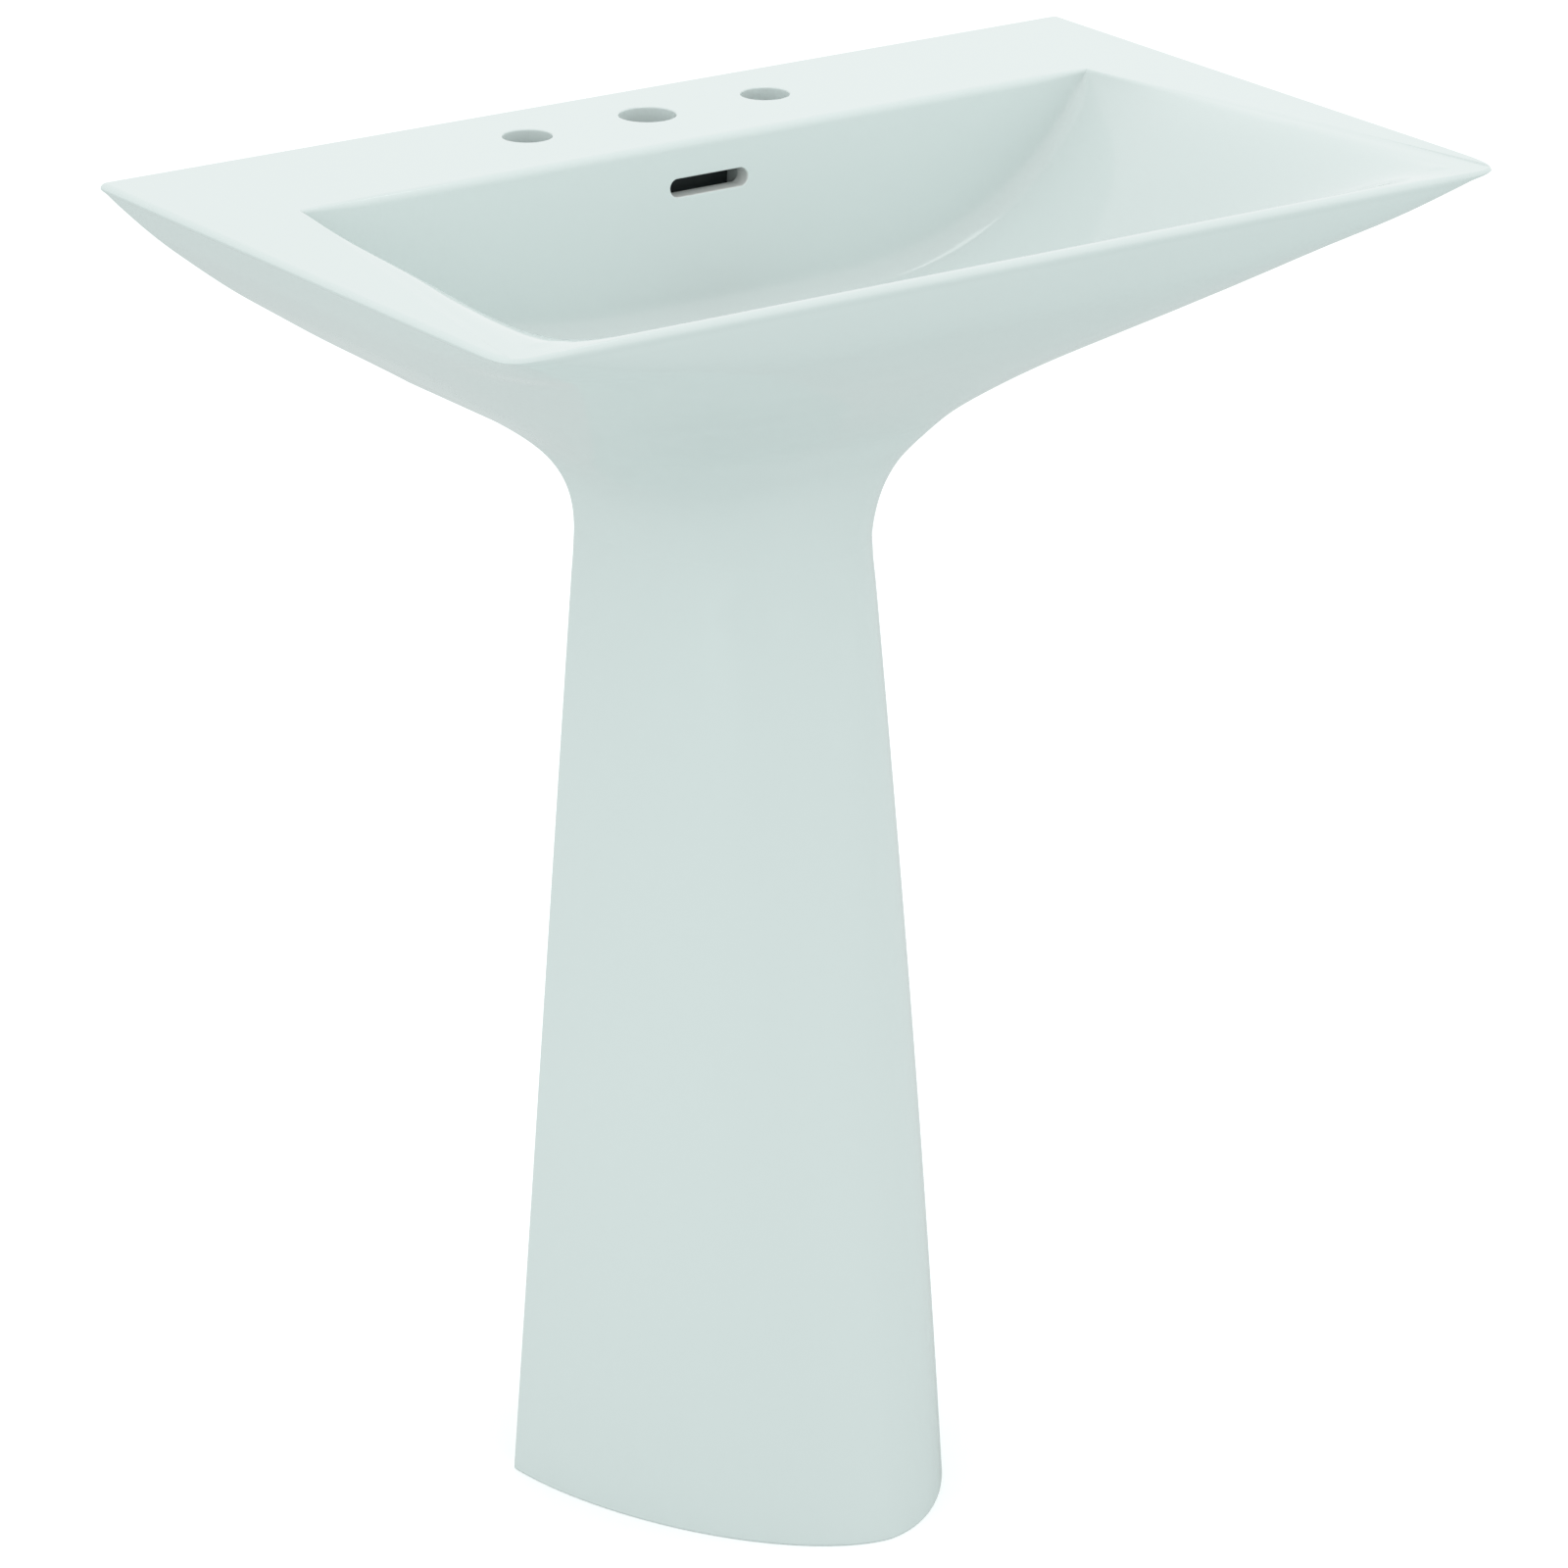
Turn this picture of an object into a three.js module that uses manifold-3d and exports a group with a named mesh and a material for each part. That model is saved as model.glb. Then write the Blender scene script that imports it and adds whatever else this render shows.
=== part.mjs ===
// A pedestal sink: a glazed ceramic basin on a ceramic pedestal, with its waste fitting, bottle trap
// and wall fixings. Lengths are millimetres, +Z is up, the floor is at height zero, X runs along the
// wall, and the wall plane is at Y zero until the whole part is centred at the end. The front faces -Y.
import * as THREE from 'three';
import { mergeVertices } from 'three/addons/utils/BufferGeometryUtils.js';
import Module from 'manifold-3d';

const wasm = await Module();
wasm.setup();

// Overall sizes.
const deckWidth = 700;
const deckDepth = 441;
const deckHeight = 850;

// The outside form. A drop is a depth below the deck. A reach is measured forward from the plane of
// the pedestal's open back. The seam is where the basin rests on the pedestal, the neck is the
// narrowest place.
const pedestalSetback = 95;
const seamDrop = 158.5;
const seamHalfWidth = 139.6;
const seamReach = 163.3;
const neckDrop = 237;
const neckHalfWidth = 83.4;
const neckReach = 143.5;
const footHalfWidth = 135.7;
const footReach = 219.7;
const rimRadius = 3;
const seamSquareness = 2.9;
const neckSquareness = 2.37;
const footSquareness = 1.73;

// Walls and the seam.
const ceramicWall = 10;
const skirtWall = 13;
const deckThickness = 12;
const apronThickness = 12;
const apronDrop = 95;
const stripThickness = 0.6;
const stripWidth = 11;
const fitGap = 0.3;

// The bowl. Its back wall leans a little forward as it goes down, and its sides widen to the front.
const bowlBack = 119;
const bowlBackHalfWidth = 283.5;
const bowlFrontWall = 10;
const bowlSideTaper = 0.165;
const bowlFloorDrop = 120;
const bowlWallFootDrop = 102;
const bowlWallLean = 0.08;
const bowlFilletRadius = 14;
const bowlSideSquareness = 3.5;
const bowlSideSoftness = 1.3;
const bowlFrontSquareness = 2.1;

// Holes in the basin.
const drainSetback = 195;
const drainBoreRadius = 23;
const drainBossRadius = 36;
const drainBossHeight = 36;
const recessRadius = 33;
const recessDepth = 2.5;
const tapRowSetback = 54.5;
const tapSpacing = 86.5;
const middleTapRadius = 17.5;
const sideTapRadius = 15;
const overflowWidth = 56;
const overflowHeight = 11;
const overflowDrop = 27.5;
const ductWidth = 60;
const ductWall = 8;
const ductDepth = 13;

// Waste fitting.
const flangeRadius = 32;
const flangeThickness = 2.4;
const flangeChamfer = 2.2;
const sealThickness = 1.5;
const wasteTubeRadius = 20.8;
const wasteBoreRadius = 17.5;
const wasteBodyLength = 84;
const overflowPortWidth = 14;
const overflowPortHeight = 14;
const bridgeHeight = 6;
const bridgeWidth = 5;
const bridgeDrop = 36;
const hubRadius = 7;
const hubBoreRadius = 4.2;
const lowerSealRadius = 31;
const lowerSealHeight = 6;
const washerRadius = 30;
const washerThickness = 1.5;
const backNutAcrossFlats = 56;
const backNutHeight = 12;
const cartridgeRadius = 6.4;
const cartridgeStudRadius = 3.9;
const cartridgeStudLength = 9;
const cartridgeLength = 24;
const cartridgeBoreDepth = 22;
const stemRadius = 3;
const stemLength = 34;
const plugTravel = 8;
const capRadius = 31;
const capThickness = 3.2;
const capCrown = 1.8;
const capEdgeRound = 1.2;
const capHubRadius = 7.5;
const capHubHeight = 3;
const sealGrooveDepth = 1.2;
const plugSealRadius = 26.4;
const plugSealBore = 22;
const plugSealHeight = 2.2;

// Bottle trap.
const trapTubeRadius = 16;
const trapTubeWall = 1.2;
const collarRadius = 20.4;
const collarHeight = 3;
const tubeDipClearance = 32;
const slipNutAcrossFlats = 50;
const slipNutHeight = 26;
const slipNutLip = 3;
const slipSealHeight = 2.8;
const inletNutHeight = 22;
const inletNutAcrossFlats = 52;
const inletSealHeight = 4.4;
const trapNeckRadius = 22;
const trapNeckHeight = 20;
const trapHeadRadius = 30;
const trapHeadHeight = 48;
const trapHeadWall = 3.5;
const spigotRadius = 29;
const spigotHeight = 12;
const outletDrop = 390;
const outletBelowHeadTop = 24;
const outletStubRadius = 20;
const outletStubLength = 50;
const outletNutHeight = 20;
const outletNutAcrossFlats = 48;
const outletSealHeight = 4.4;
const cupCollarRadius = 34;
const cupCollarHeight = 16;
const cupRadius = 32;
const cupHeight = 88;
const cupWall = 3.5;
const cupFoot = 3;
const cupEdgeRound = 5;
const cupSealHeight = 2.4;
const pipeEmbedment = 15;
const pipeInsertion = 4;
const rosetteRadius = 26;
const rosetteDepth = 8;
const rosetteRim = 1.5;
const rosetteWall = 1.2;

// Wall fixings.
const boltSpacing = 280;
const boltDrop = 62;
const boltRadius = 5;
const boltFrontLength = 36;
const boltWallLength = 58;
const boltTipLength = 12;
const boltTipRadius = 1.2;
const boltChamfer = 1;
const plugRadius = 7;
const plugLength = 62;
const plugMouth = 1.5;
const plugGroove = 0.9;
const plugGrooves = 5;
const bushRadius = 8.7;
const bushFlangeRadius = 14;
const bushFlangeThickness = 3;
const apronHoleRadius = 9;
const boltWasherRadius = 13;
const boltWasherThickness = 2;
const boltNutAcrossFlats = 17;
const boltNutHeight = 8;

// Working values.
const cutOverrun = 5;
const weldDistance = 1e-4;
const fineSides = 28;
const plainSides = 20;
const smallSides = 12;
const deckReach = deckDepth - pedestalSetback;
const deckHalfWidth = deckWidth / 2;
const seamHeight = deckHeight - seamDrop;
const pedestalTopDrop = seamDrop + stripThickness + 2 * fitGap;
const bowlFront = deckDepth - bowlFrontWall;
const bowlFloorHeight = deckHeight - bowlFloorDrop;
const recessFloor = bowlFloorHeight - recessDepth;
const bossBottom = bowlFloorHeight - drainBossHeight;
const wallFixingHeight = deckHeight - boltDrop;
const outletHeight = deckHeight - outletDrop;

// Materials.
const ceramic = new THREE.MeshStandardMaterial({ color: 0xe3eae7, roughness: 0.08, metalness: 0 });
const chrome = new THREE.MeshStandardMaterial({ color: 0xd8dadc, roughness: 0.12, metalness: 1 });
const brass = new THREE.MeshStandardMaterial({ color: 0xc9a45c, roughness: 0.35, metalness: 1 });
const steel = new THREE.MeshStandardMaterial({ color: 0xaeb2b5, roughness: 0.35, metalness: 1 });
const rubber = new THREE.MeshStandardMaterial({ color: 0x2b2d2e, roughness: 0.8, metalness: 0 });
const whiteSeal = new THREE.MeshStandardMaterial({ color: 0xe6ebe8, roughness: 0.5, metalness: 0 });
const nylon = new THREE.MeshStandardMaterial({ color: 0xe9e8e2, roughness: 0.6, metalness: 0 });
const greyPlastic = new THREE.MeshStandardMaterial({ color: 0x8d9296, roughness: 0.6, metalness: 0 });

// Stations down the outside: drop, half width and reach as shares of the way from one named place to
// the next, then the squareness of the section, which is the power of its super-ellipse.
const upperShares = [
  [0, 1, 1, 60],
  [0.02, 1, 1, 45],
  [0.05, 0.977, 0.986, 24],
  [0.095, 0.945, 0.966, 16],
  [0.252, 0.822, 0.875, 6.25],
  [0.379, 0.705, 0.75, 4.8],
  [0.505, 0.581, 0.604, 3.94],
  [0.631, 0.439, 0.436, 3.5],
  [0.757, 0.295, 0.266, 3.18],
  [0.883, 0.14, 0.115, 3.02],
];
const flareShares = [
  [0, 1, 1],
  [0.111, 0.765, 0.77],
  [0.214, 0.573, 0.53],
  [0.338, 0.372, 0.253],
  [0.499, 0.19, 0.1],
  [0.656, 0.077, 0.03],
  [0.84, 0.012, 0.005],
];
const shaftShares = [0, 0.04, 0.3, 1];

function mix(from, to, share) {
  return from + (to - from) * share;
}

// Every station as drop, half width, reach and squareness.
function outsideStations() {
  const upper = upperShares.map(([drop, width, reach, squareness]) => [
    seamDrop * drop,
    mix(seamHalfWidth, deckHalfWidth, width),
    mix(seamReach, deckReach, reach),
    squareness,
  ]);
  const flare = flareShares.map(([drop, width, reach]) => [
    mix(seamDrop, neckDrop, drop),
    mix(neckHalfWidth, seamHalfWidth, width),
    mix(neckReach, seamReach, reach),
    mix(seamSquareness, neckSquareness, drop),
  ]);
  const shaft = shaftShares.map((share) => [
    mix(neckDrop, deckHeight, share),
    mix(neckHalfWidth, footHalfWidth, share),
    mix(neckReach, footReach, share),
    mix(neckSquareness, footSquareness, share),
  ]);
  return [...upper, ...flare, ...shaft];
}

// A smooth curve through stations that never overshoots them.
function smoothCurve(places, values) {
  const last = places.length - 1;
  const slopes = [];
  for (let i = 0; i < last; i += 1) {
    slopes.push((values[i + 1] - values[i]) / (places[i + 1] - places[i]));
  }
  const tangents = places.map((place, i) => {
    if (i === 0) return slopes[0];
    if (i === last) return slopes[last - 1];
    if (slopes[i - 1] * slopes[i] <= 0) return 0;
    const before = places[i] - places[i - 1];
    const after = places[i + 1] - places[i];
    const weightBefore = before + 2 * after;
    const weightAfter = 2 * before + after;
    const weights = weightBefore + weightAfter;
    return weights / (weightAfter / slopes[i - 1] + weightBefore / slopes[i]);
  });
  return (place) => {
    let i = 0;
    while (i < last - 1 && place > places[i + 1]) i += 1;
    const span = places[i + 1] - places[i];
    const t = (place - places[i]) / span;
    const fromStart = values[i] * (1 + 2 * t) + tangents[i] * span * t;
    const fromEnd = values[i + 1] * (3 - 2 * t) - tangents[i + 1] * span * (1 - t);
    return fromStart * (1 - t) * (1 - t) + fromEnd * t * t;
  };
}

const stations = outsideStations();
const stationDrops = stations.map((station) => station[0]);
const halfWidthAt = smoothCurve(stationDrops, stations.map((station) => station[1]));
const reachAt = smoothCurve(stationDrops, stations.map((station) => station[2]));
const squarenessAt = smoothCurve(stationDrops, stations.map((station) => station[3]));

// Directions in which each section has a point, closer together round the front corner.
const quarterDegrees = [0, 13, 25, 34, 40, 43, 44.7, 46.5, 49.5, 55, 62, 70, 78, 84.5];
const sectionDegrees = [
  ...quarterDegrees,
  90,
  ...quarterDegrees.map((degrees) => 180 - degrees).reverse(),
];

// One horizontal section of the outside, drawn in by an inset and ended at the given setback from the
// wall. It runs from the right side round the nose to the left side.
function section(drop, height, inset, backSetback) {
  const half = halfWidthAt(drop) - inset;
  const reach = reachAt(drop) - inset;
  const power = squarenessAt(drop);
  const points = sectionDegrees.map((degrees) => {
    const angle = THREE.MathUtils.degToRad(degrees);
    const across = Math.cos(angle);
    const forward = Math.sin(angle);
    const sum = (Math.abs(across) / half) ** power + (forward / reach) ** power;
    const radius = sum ** (-1 / power);
    return new THREE.Vector3(radius * across, -pedestalSetback - radius * forward, height);
  });
  if (backSetback >= pedestalSetback) return points;
  const rightBack = new THREE.Vector3(half, -backSetback, height);
  const leftBack = new THREE.Vector3(-half, -backSetback, height);
  return [rightBack, ...points, leftBack];
}

// A closed indexed geometry whose faces point out, with its corners merged.
function closed(geometry) {
  const plain = new THREE.BufferGeometry();
  plain.setAttribute('position', geometry.getAttribute('position'));
  plain.setIndex(geometry.getIndex());
  const merged = mergeVertices(plain, weldDistance);
  const position = merged.getAttribute('position');
  const old = merged.getIndex().array;
  const faces = [];
  let volume = 0;
  const a = new THREE.Vector3();
  const b = new THREE.Vector3();
  const c = new THREE.Vector3();
  for (let i = 0; i < old.length; i += 3) {
    const [first, second, third] = [old[i], old[i + 1], old[i + 2]];
    if (first === second || second === third || third === first) continue;
    a.fromBufferAttribute(position, first);
    b.fromBufferAttribute(position, second);
    c.fromBufferAttribute(position, third);
    volume += a.dot(b.cross(c));
    faces.push([first, second, third]);
  }
  const outward = volume < 0 ? faces.map(([p, q, r]) => [p, r, q]) : faces;
  merged.setIndex(outward.flat());
  return merged;
}

function solid(geometry) {
  const body = closed(geometry);
  return new wasm.Manifold(new wasm.Mesh({
    numProp: 3,
    vertProperties: new Float32Array(body.getAttribute('position').array),
    triVerts: new Uint32Array(body.getIndex().array),
  }));
}

function geometryOf(manifold) {
  const mesh = manifold.getMesh();
  const geometry = new THREE.BufferGeometry();
  geometry.setAttribute('position', new THREE.BufferAttribute(mesh.vertProperties, 3));
  geometry.setIndex(new THREE.BufferAttribute(mesh.triVerts, 1));
  return geometry;
}

// A skin over rings with equal counts of points, closed by a fan at each end.
function loft(rings) {
  const count = rings[0].length;
  const points = rings.flat();
  const faces = [];
  for (let level = 0; level + 1 < rings.length; level += 1) {
    for (let i = 0; i < count; i += 1) {
      const next = (i + 1) % count;
      const low = level * count;
      const high = low + count;
      faces.push(low + i, low + next, high + next, low + i, high + next, high + i);
    }
  }
  const ends = [rings[0], rings[rings.length - 1]];
  ends.forEach((ring, end) => {
    const centre = ring.reduce((sum, point) => sum.add(point), new THREE.Vector3());
    const base = end * (rings.length - 1) * count;
    points.push(centre.divideScalar(count));
    const hub = points.length - 1;
    for (let i = 0; i < count; i += 1) {
      const next = (i + 1) % count;
      faces.push(...(end === 0 ? [hub, base + next, base + i] : [hub, base + i, base + next]));
    }
  });
  const geometry = new THREE.BufferGeometry().setFromPoints(points);
  geometry.setIndex(faces);
  return geometry;
}

// A solid of revolution about Z from radius and height pairs.
function turned(profile, sides) {
  const points = profile.map(([radius, height]) => new THREE.Vector2(radius, height));
  return closed(new THREE.LatheGeometry(points, sides).rotateX(Math.PI / 2));
}

// A ring of revolution, whose profile closes on itself.
function turnedRing(profile, sides) {
  return turned([...profile, profile[0]], sides);
}

function plainRing(outer, inner, bottom, height, sides) {
  const top = bottom + height;
  return turnedRing([[inner, bottom], [outer, bottom], [outer, top], [inner, top]], sides);
}

function rod(radius, bottom, height, sides) {
  const top = bottom + height;
  return turned([[0, bottom], [radius, bottom], [radius, top], [0, top]], sides);
}

function block(width, depth, height, x, y, z) {
  return new THREE.BoxGeometry(width, depth, height).translate(x, y, z);
}

// A six-sided prism with a round bore, standing on the given height.
function hexRing(acrossFlats, bore, bottom, height) {
  const corner = acrossFlats / Math.sqrt(3);
  const outline = new THREE.Shape();
  for (let i = 0; i < 6; i += 1) {
    const angle = (i * Math.PI) / 3;
    const x = corner * Math.cos(angle);
    const y = corner * Math.sin(angle);
    if (i === 0) outline.moveTo(x, y);
    else outline.lineTo(x, y);
  }
  const hole = new THREE.Path();
  hole.absarc(0, 0, bore, 0, 2 * Math.PI, true);
  outline.holes.push(hole);
  const options = { depth: height, bevelEnabled: false, curveSegments: plainSides / 2 };
  return new THREE.ExtrudeGeometry(outline, options).translate(0, 0, bottom);
}

// A slip nut: a threaded skirt with a lip that holds a collar or a seal.
function slipNut(acrossFlats, threadRadius, lipRadius, skirtHeight, lip) {
  const skirt = solid(hexRing(acrossFlats, threadRadius, 0, skirtHeight));
  const cover = solid(hexRing(acrossFlats, lipRadius, skirtHeight, lip));
  return geometryOf(skirt.add(cover));
}

// Moves a solid made about Z to the drain's axis.
function atDrain(geometry) {
  return geometry.translate(0, -drainSetback, 0);
}

const part = new THREE.Group();

function add(name, geometry, material) {
  const mesh = new THREE.Mesh(geometry, material);
  mesh.name = name;
  part.add(mesh);
  return mesh;
}

// The bowl's depth below the deck at a place, for the bowl itself or for the same form grown outward.
function bowlDepth(x, setback, grown) {
  const back = bowlBack - grown;
  const front = bowlFront + grown;
  const half = bowlBackHalfWidth + grown + bowlSideTaper * (setback - bowlBack);
  const floor = bowlFloorDrop + grown;
  const wallFoot = bowlWallFootDrop + grown;
  const radius = bowlFilletRadius + grown;
  const sideShare = Math.min(1, Math.abs(x) / half);
  const side = (1 - sideShare ** bowlSideSquareness) ** bowlSideSoftness;
  const forward = Math.min(1, Math.max(0, (setback - drainSetback) / (front - drainSetback)));
  const backward = Math.max(0, (drainSetback - setback) / (drainSetback - back));
  const along = 1 - forward ** bowlFrontSquareness - (1 - wallFoot / floor) * backward ** 2;
  const scoop = floor * side * along;
  return filletedDepth(scoop, setback - back, Math.min(radius, scoop / 2));
}

// Where the scoop meets the back wall, a concave fillet joins them. The distance is from the top of
// the wall, measured forward.
function filletedDepth(scoop, distance, radius) {
  if (distance <= 0 || scoop <= 0) return 0;
  const lean = bowlWallLean;
  if (distance > radius + lean * scoop) return scoop;
  const across = radius - distance;
  const down = radius - scoop;
  const steep = 1 + lean * lean;
  const half = across * lean + down;
  const inside = half * half - steep * (across * across + down * down - radius * radius);
  const onWall = distance / lean;
  if (inside < 0) return Math.min(scoop, onWall);
  const onFillet = (Math.sqrt(inside) - half) / steep;
  return Math.min(scoop, onWall, Math.max(onFillet, 0));
}

// The bowl's opening, from the front middle round the right side to the back middle and on.
const frontSteps = 5;
const sideSteps = 6;
const backSteps = 7;

function bowlOutline(grown) {
  const back = bowlBack - grown;
  const front = bowlFront + grown;
  const frontHalf = bowlBackHalfWidth + grown + bowlSideTaper * (front - bowlBack);
  const backHalf = bowlBackHalfWidth + grown + bowlSideTaper * (back - bowlBack);
  const corners = [[0, front], [frontHalf, front], [backHalf, back], [0, back]];
  const steps = [frontSteps, sideSteps, backSteps];
  const right = [];
  steps.forEach((count, edge) => {
    for (let i = 0; i < count; i += 1) {
      right.push([
        mix(corners[edge][0], corners[edge + 1][0], i / count),
        mix(corners[edge][1], corners[edge + 1][1], i / count),
      ]);
    }
  });
  const left = right.slice(1).map(([x, setback]) => [-x, setback]).reverse();
  return [...right, [0, back], ...left];
}

// The space of the bowl, or of the bowl and its shell, with its top a little above the deck.
function bowlSpace(grown, ringShares) {
  const outline = bowlOutline(grown);
  const rings = ringShares.map((share) => outline.map(([x, setback]) => {
    const px = x * share;
    const place = mix(drainSetback, setback, share);
    const depth = share === 1 ? 0 : bowlDepth(px, place, grown);
    return new THREE.Vector3(px, -place, deckHeight - depth);
  }));
  const lid = outline.map(([x, setback]) => (
    new THREE.Vector3(x, -setback, deckHeight + cutOverrun)
  ));
  return solid(loft([...rings, lid]));
}

const bowlRingShares = [0.08, 0.3, 0.5, 0.66, 0.78, 0.84, 0.88, 0.91, 0.935, 0.96, 0.98, 1];
const shellRingShares = [0.1, 0.35, 0.6, 0.75, 0.84, 0.9, 0.95, 1];

// An extrusion along X, centred on the midline, of an outline given as setback and drop pairs.
function crossExtrusion(outline, width) {
  const shape = new THREE.Shape(outline.map(([setback, drop]) => new THREE.Vector2(setback, drop)));
  const geometry = new THREE.ExtrudeGeometry(shape, { depth: width, bevelEnabled: false });
  const position = geometry.getAttribute('position');
  for (let i = 0; i < position.count; i += 1) {
    const setback = position.getX(i);
    const drop = position.getY(i);
    const along = position.getZ(i);
    position.setXYZ(i, along - width / 2, -setback, deckHeight - drop);
  }
  return closed(geometry);
}

// The overflow duct behind the bowl's wall. Its path runs down from the slot and then forward under
// the bowl to the drain's bore, and each station gives the setback and drop of its inner edge.
function ductOutline(margin) {
  const innerTop = bowlBack - ceramicWall;
  const top = overflowDrop - overflowHeight;
  const kneeDrop = bowlWallFootDrop - bowlFilletRadius;
  const kneeSetback = innerTop + bowlWallLean * kneeDrop;
  const underDrop = bowlWallFootDrop + ceramicWall;
  const underSetback = bowlBack + bowlFilletRadius;
  const endSetback = drainSetback - drainBoreRadius / 2;
  const endDrop = bowlFloorDrop + ductWall;
  const rear = innerTop - ductDepth - margin;
  return [
    [innerTop + margin, top - margin],
    [kneeSetback + margin, kneeDrop],
    [underSetback, underDrop - margin],
    [endSetback, endDrop - margin],
    [endSetback, endDrop + ductDepth + margin],
    [underSetback - margin, underDrop + ductDepth + margin],
    [rear, kneeDrop + ductDepth],
    [rear, top - margin],
  ];
}

// The slot through the bowl's back wall, with round ends.
function overflowSlot() {
  const radius = overflowHeight / 2;
  const straight = (overflowWidth - overflowHeight) / 2;
  const shape = new THREE.Shape();
  shape.absarc(straight, 0, radius, -Math.PI / 2, Math.PI / 2, false);
  shape.absarc(-straight, 0, radius, Math.PI / 2, (3 * Math.PI) / 2, false);
  const length = ceramicWall + ductDepth / 2 + cutOverrun;
  const options = { depth: length, bevelEnabled: false, curveSegments: smallSides / 2 };
  const geometry = new THREE.ExtrudeGeometry(shape, options);
  geometry.rotateX(Math.PI / 2);
  const rear = bowlBack - ceramicWall - ductDepth / 2;
  return geometry.translate(0, -rear, deckHeight - overflowDrop);
}

const upperRingShares = [0.095, 0.2, 0.3, 0.4, 0.505, 0.631, 0.757, 0.883, 1];
const rimSteps = 2;

function basinOutside() {
  const rings = upperRingShares.map((share) => (
    section(seamDrop * share, deckHeight - seamDrop * share, 0, 0)
  )).reverse();
  for (let step = 0; step <= rimSteps; step += 1) {
    const angle = (step / rimSteps) * (Math.PI / 2);
    const drop = rimRadius * (1 - Math.sin(angle));
    rings.push(section(rimRadius, deckHeight - drop, rimRadius * (1 - Math.cos(angle)), 0));
  }
  return solid(loft(rings));
}

// The room under the deck and round the bowl, open below.
function basinUnderside() {
  const shares = [...upperRingShares, 1 + cutOverrun / seamDrop].reverse();
  const rings = shares.map((share) => {
    const drop = seamDrop * share;
    return section(Math.min(drop, seamDrop), deckHeight - drop, skirtWall, apronThickness);
  });
  const room = solid(loft(rings));
  const boss = solid(atDrain(rod(drainBossRadius, bossBottom, drainBossHeight, fineSides)));
  const duct = solid(crossExtrusion(ductOutline(ductWall), ductWidth + 2 * ductWall));
  const left = room.subtract(bowlSpace(ceramicWall, shellRingShares)).subtract(boss).subtract(duct);
  const rooms = left.decompose();
  return rooms.reduce((best, other) => (other.volume() > best.volume() ? other : best));
}

// The rear apron ends above the seam, which leaves the way for the pipe and for tools.
function apronOpening() {
  const drops = [seamDrop + cutOverrun, seamDrop, mix(apronDrop, seamDrop, 1 / 2), apronDrop];
  const rings = drops.map((drop) => {
    const half = halfWidthAt(Math.min(drop, seamDrop)) - skirtWall;
    const height = deckHeight - drop;
    const rear = apronThickness + cutOverrun;
    return [
      new THREE.Vector3(half, cutOverrun, height),
      new THREE.Vector3(half, -rear, height),
      new THREE.Vector3(-half, -rear, height),
      new THREE.Vector3(-half, cutOverrun, height),
    ];
  });
  return solid(loft(rings));
}

function apronHole(x) {
  const length = apronThickness + 2 * cutOverrun;
  const hole = rod(apronHoleRadius, 0, length, plainSides).rotateX(Math.PI / 2);
  return solid(hole.translate(x, cutOverrun, wallFixingHeight));
}

function tapHole(x, radius) {
  const bottom = deckHeight - deckThickness - cutOverrun;
  const hole = rod(radius, bottom, deckThickness + 2 * cutOverrun, fineSides);
  return solid(hole.translate(x, -tapRowSetback, 0));
}

function makeBasin() {
  const bore = rod(drainBoreRadius, bossBottom - cutOverrun, drainBossHeight + 2 * cutOverrun, fineSides);
  const recess = rod(recessRadius, recessFloor, recessDepth + cutOverrun, fineSides);
  const duct = crossExtrusion(ductOutline(0), ductWidth);
  const cuts = [
    bowlSpace(0, bowlRingShares),
    basinUnderside(),
    apronOpening(),
    apronHole(-boltSpacing / 2),
    apronHole(boltSpacing / 2),
    tapHole(-tapSpacing, sideTapRadius),
    tapHole(0, middleTapRadius),
    tapHole(tapSpacing, sideTapRadius),
    solid(atDrain(bore)),
    solid(atDrain(recess)),
    solid(duct),
    solid(overflowSlot()),
  ];
  const body = cuts.reduce((rest, cut) => rest.subtract(cut), basinOutside());
  add('basin', geometryOf(body), ceramic);
}

const flareRingShares = [0, 0.111, 0.214, 0.338, 0.499, 0.656, 0.84, 1];
const shaftRingShares = [0.04, 0.2, 0.5, 1];

function pedestalDrops() {
  const flare = flareRingShares.map((share) => mix(pedestalTopDrop, neckDrop, share));
  const shaft = shaftRingShares.map((share) => mix(neckDrop, deckHeight, share));
  return [...flare, ...shaft];
}

function makePedestal() {
  const drops = pedestalDrops().reverse();
  const outside = drops.map((drop) => section(drop, deckHeight - drop, 0, pedestalSetback));
  const inside = drops.map((drop, i) => {
    let height = deckHeight - drop;
    if (i === 0) height -= cutOverrun;
    if (i === drops.length - 1) height += cutOverrun;
    return section(drop, height, ceramicWall, pedestalSetback - cutOverrun);
  });
  const body = solid(loft(outside)).subtract(solid(loft(inside)));
  add('pedestal', geometryOf(body), ceramic);
}

// The elastic strip follows the seam round the front and ends at the pedestal's open back.
function makeJointStrip() {
  const outerLine = section(seamDrop, 0, fitGap, pedestalSetback);
  const innerLine = section(seamDrop, 0, stripWidth, pedestalSetback);
  const line = [...outerLine, ...innerLine.reverse()];
  const shape = new THREE.Shape(line.map((point) => new THREE.Vector2(point.x, point.y)));
  const options = { depth: stripThickness, bevelEnabled: false };
  const bottom = seamHeight - fitGap - stripThickness;
  add('joint_strip', new THREE.ExtrudeGeometry(shape, options).translate(0, 0, bottom), whiteSeal);
}

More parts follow.
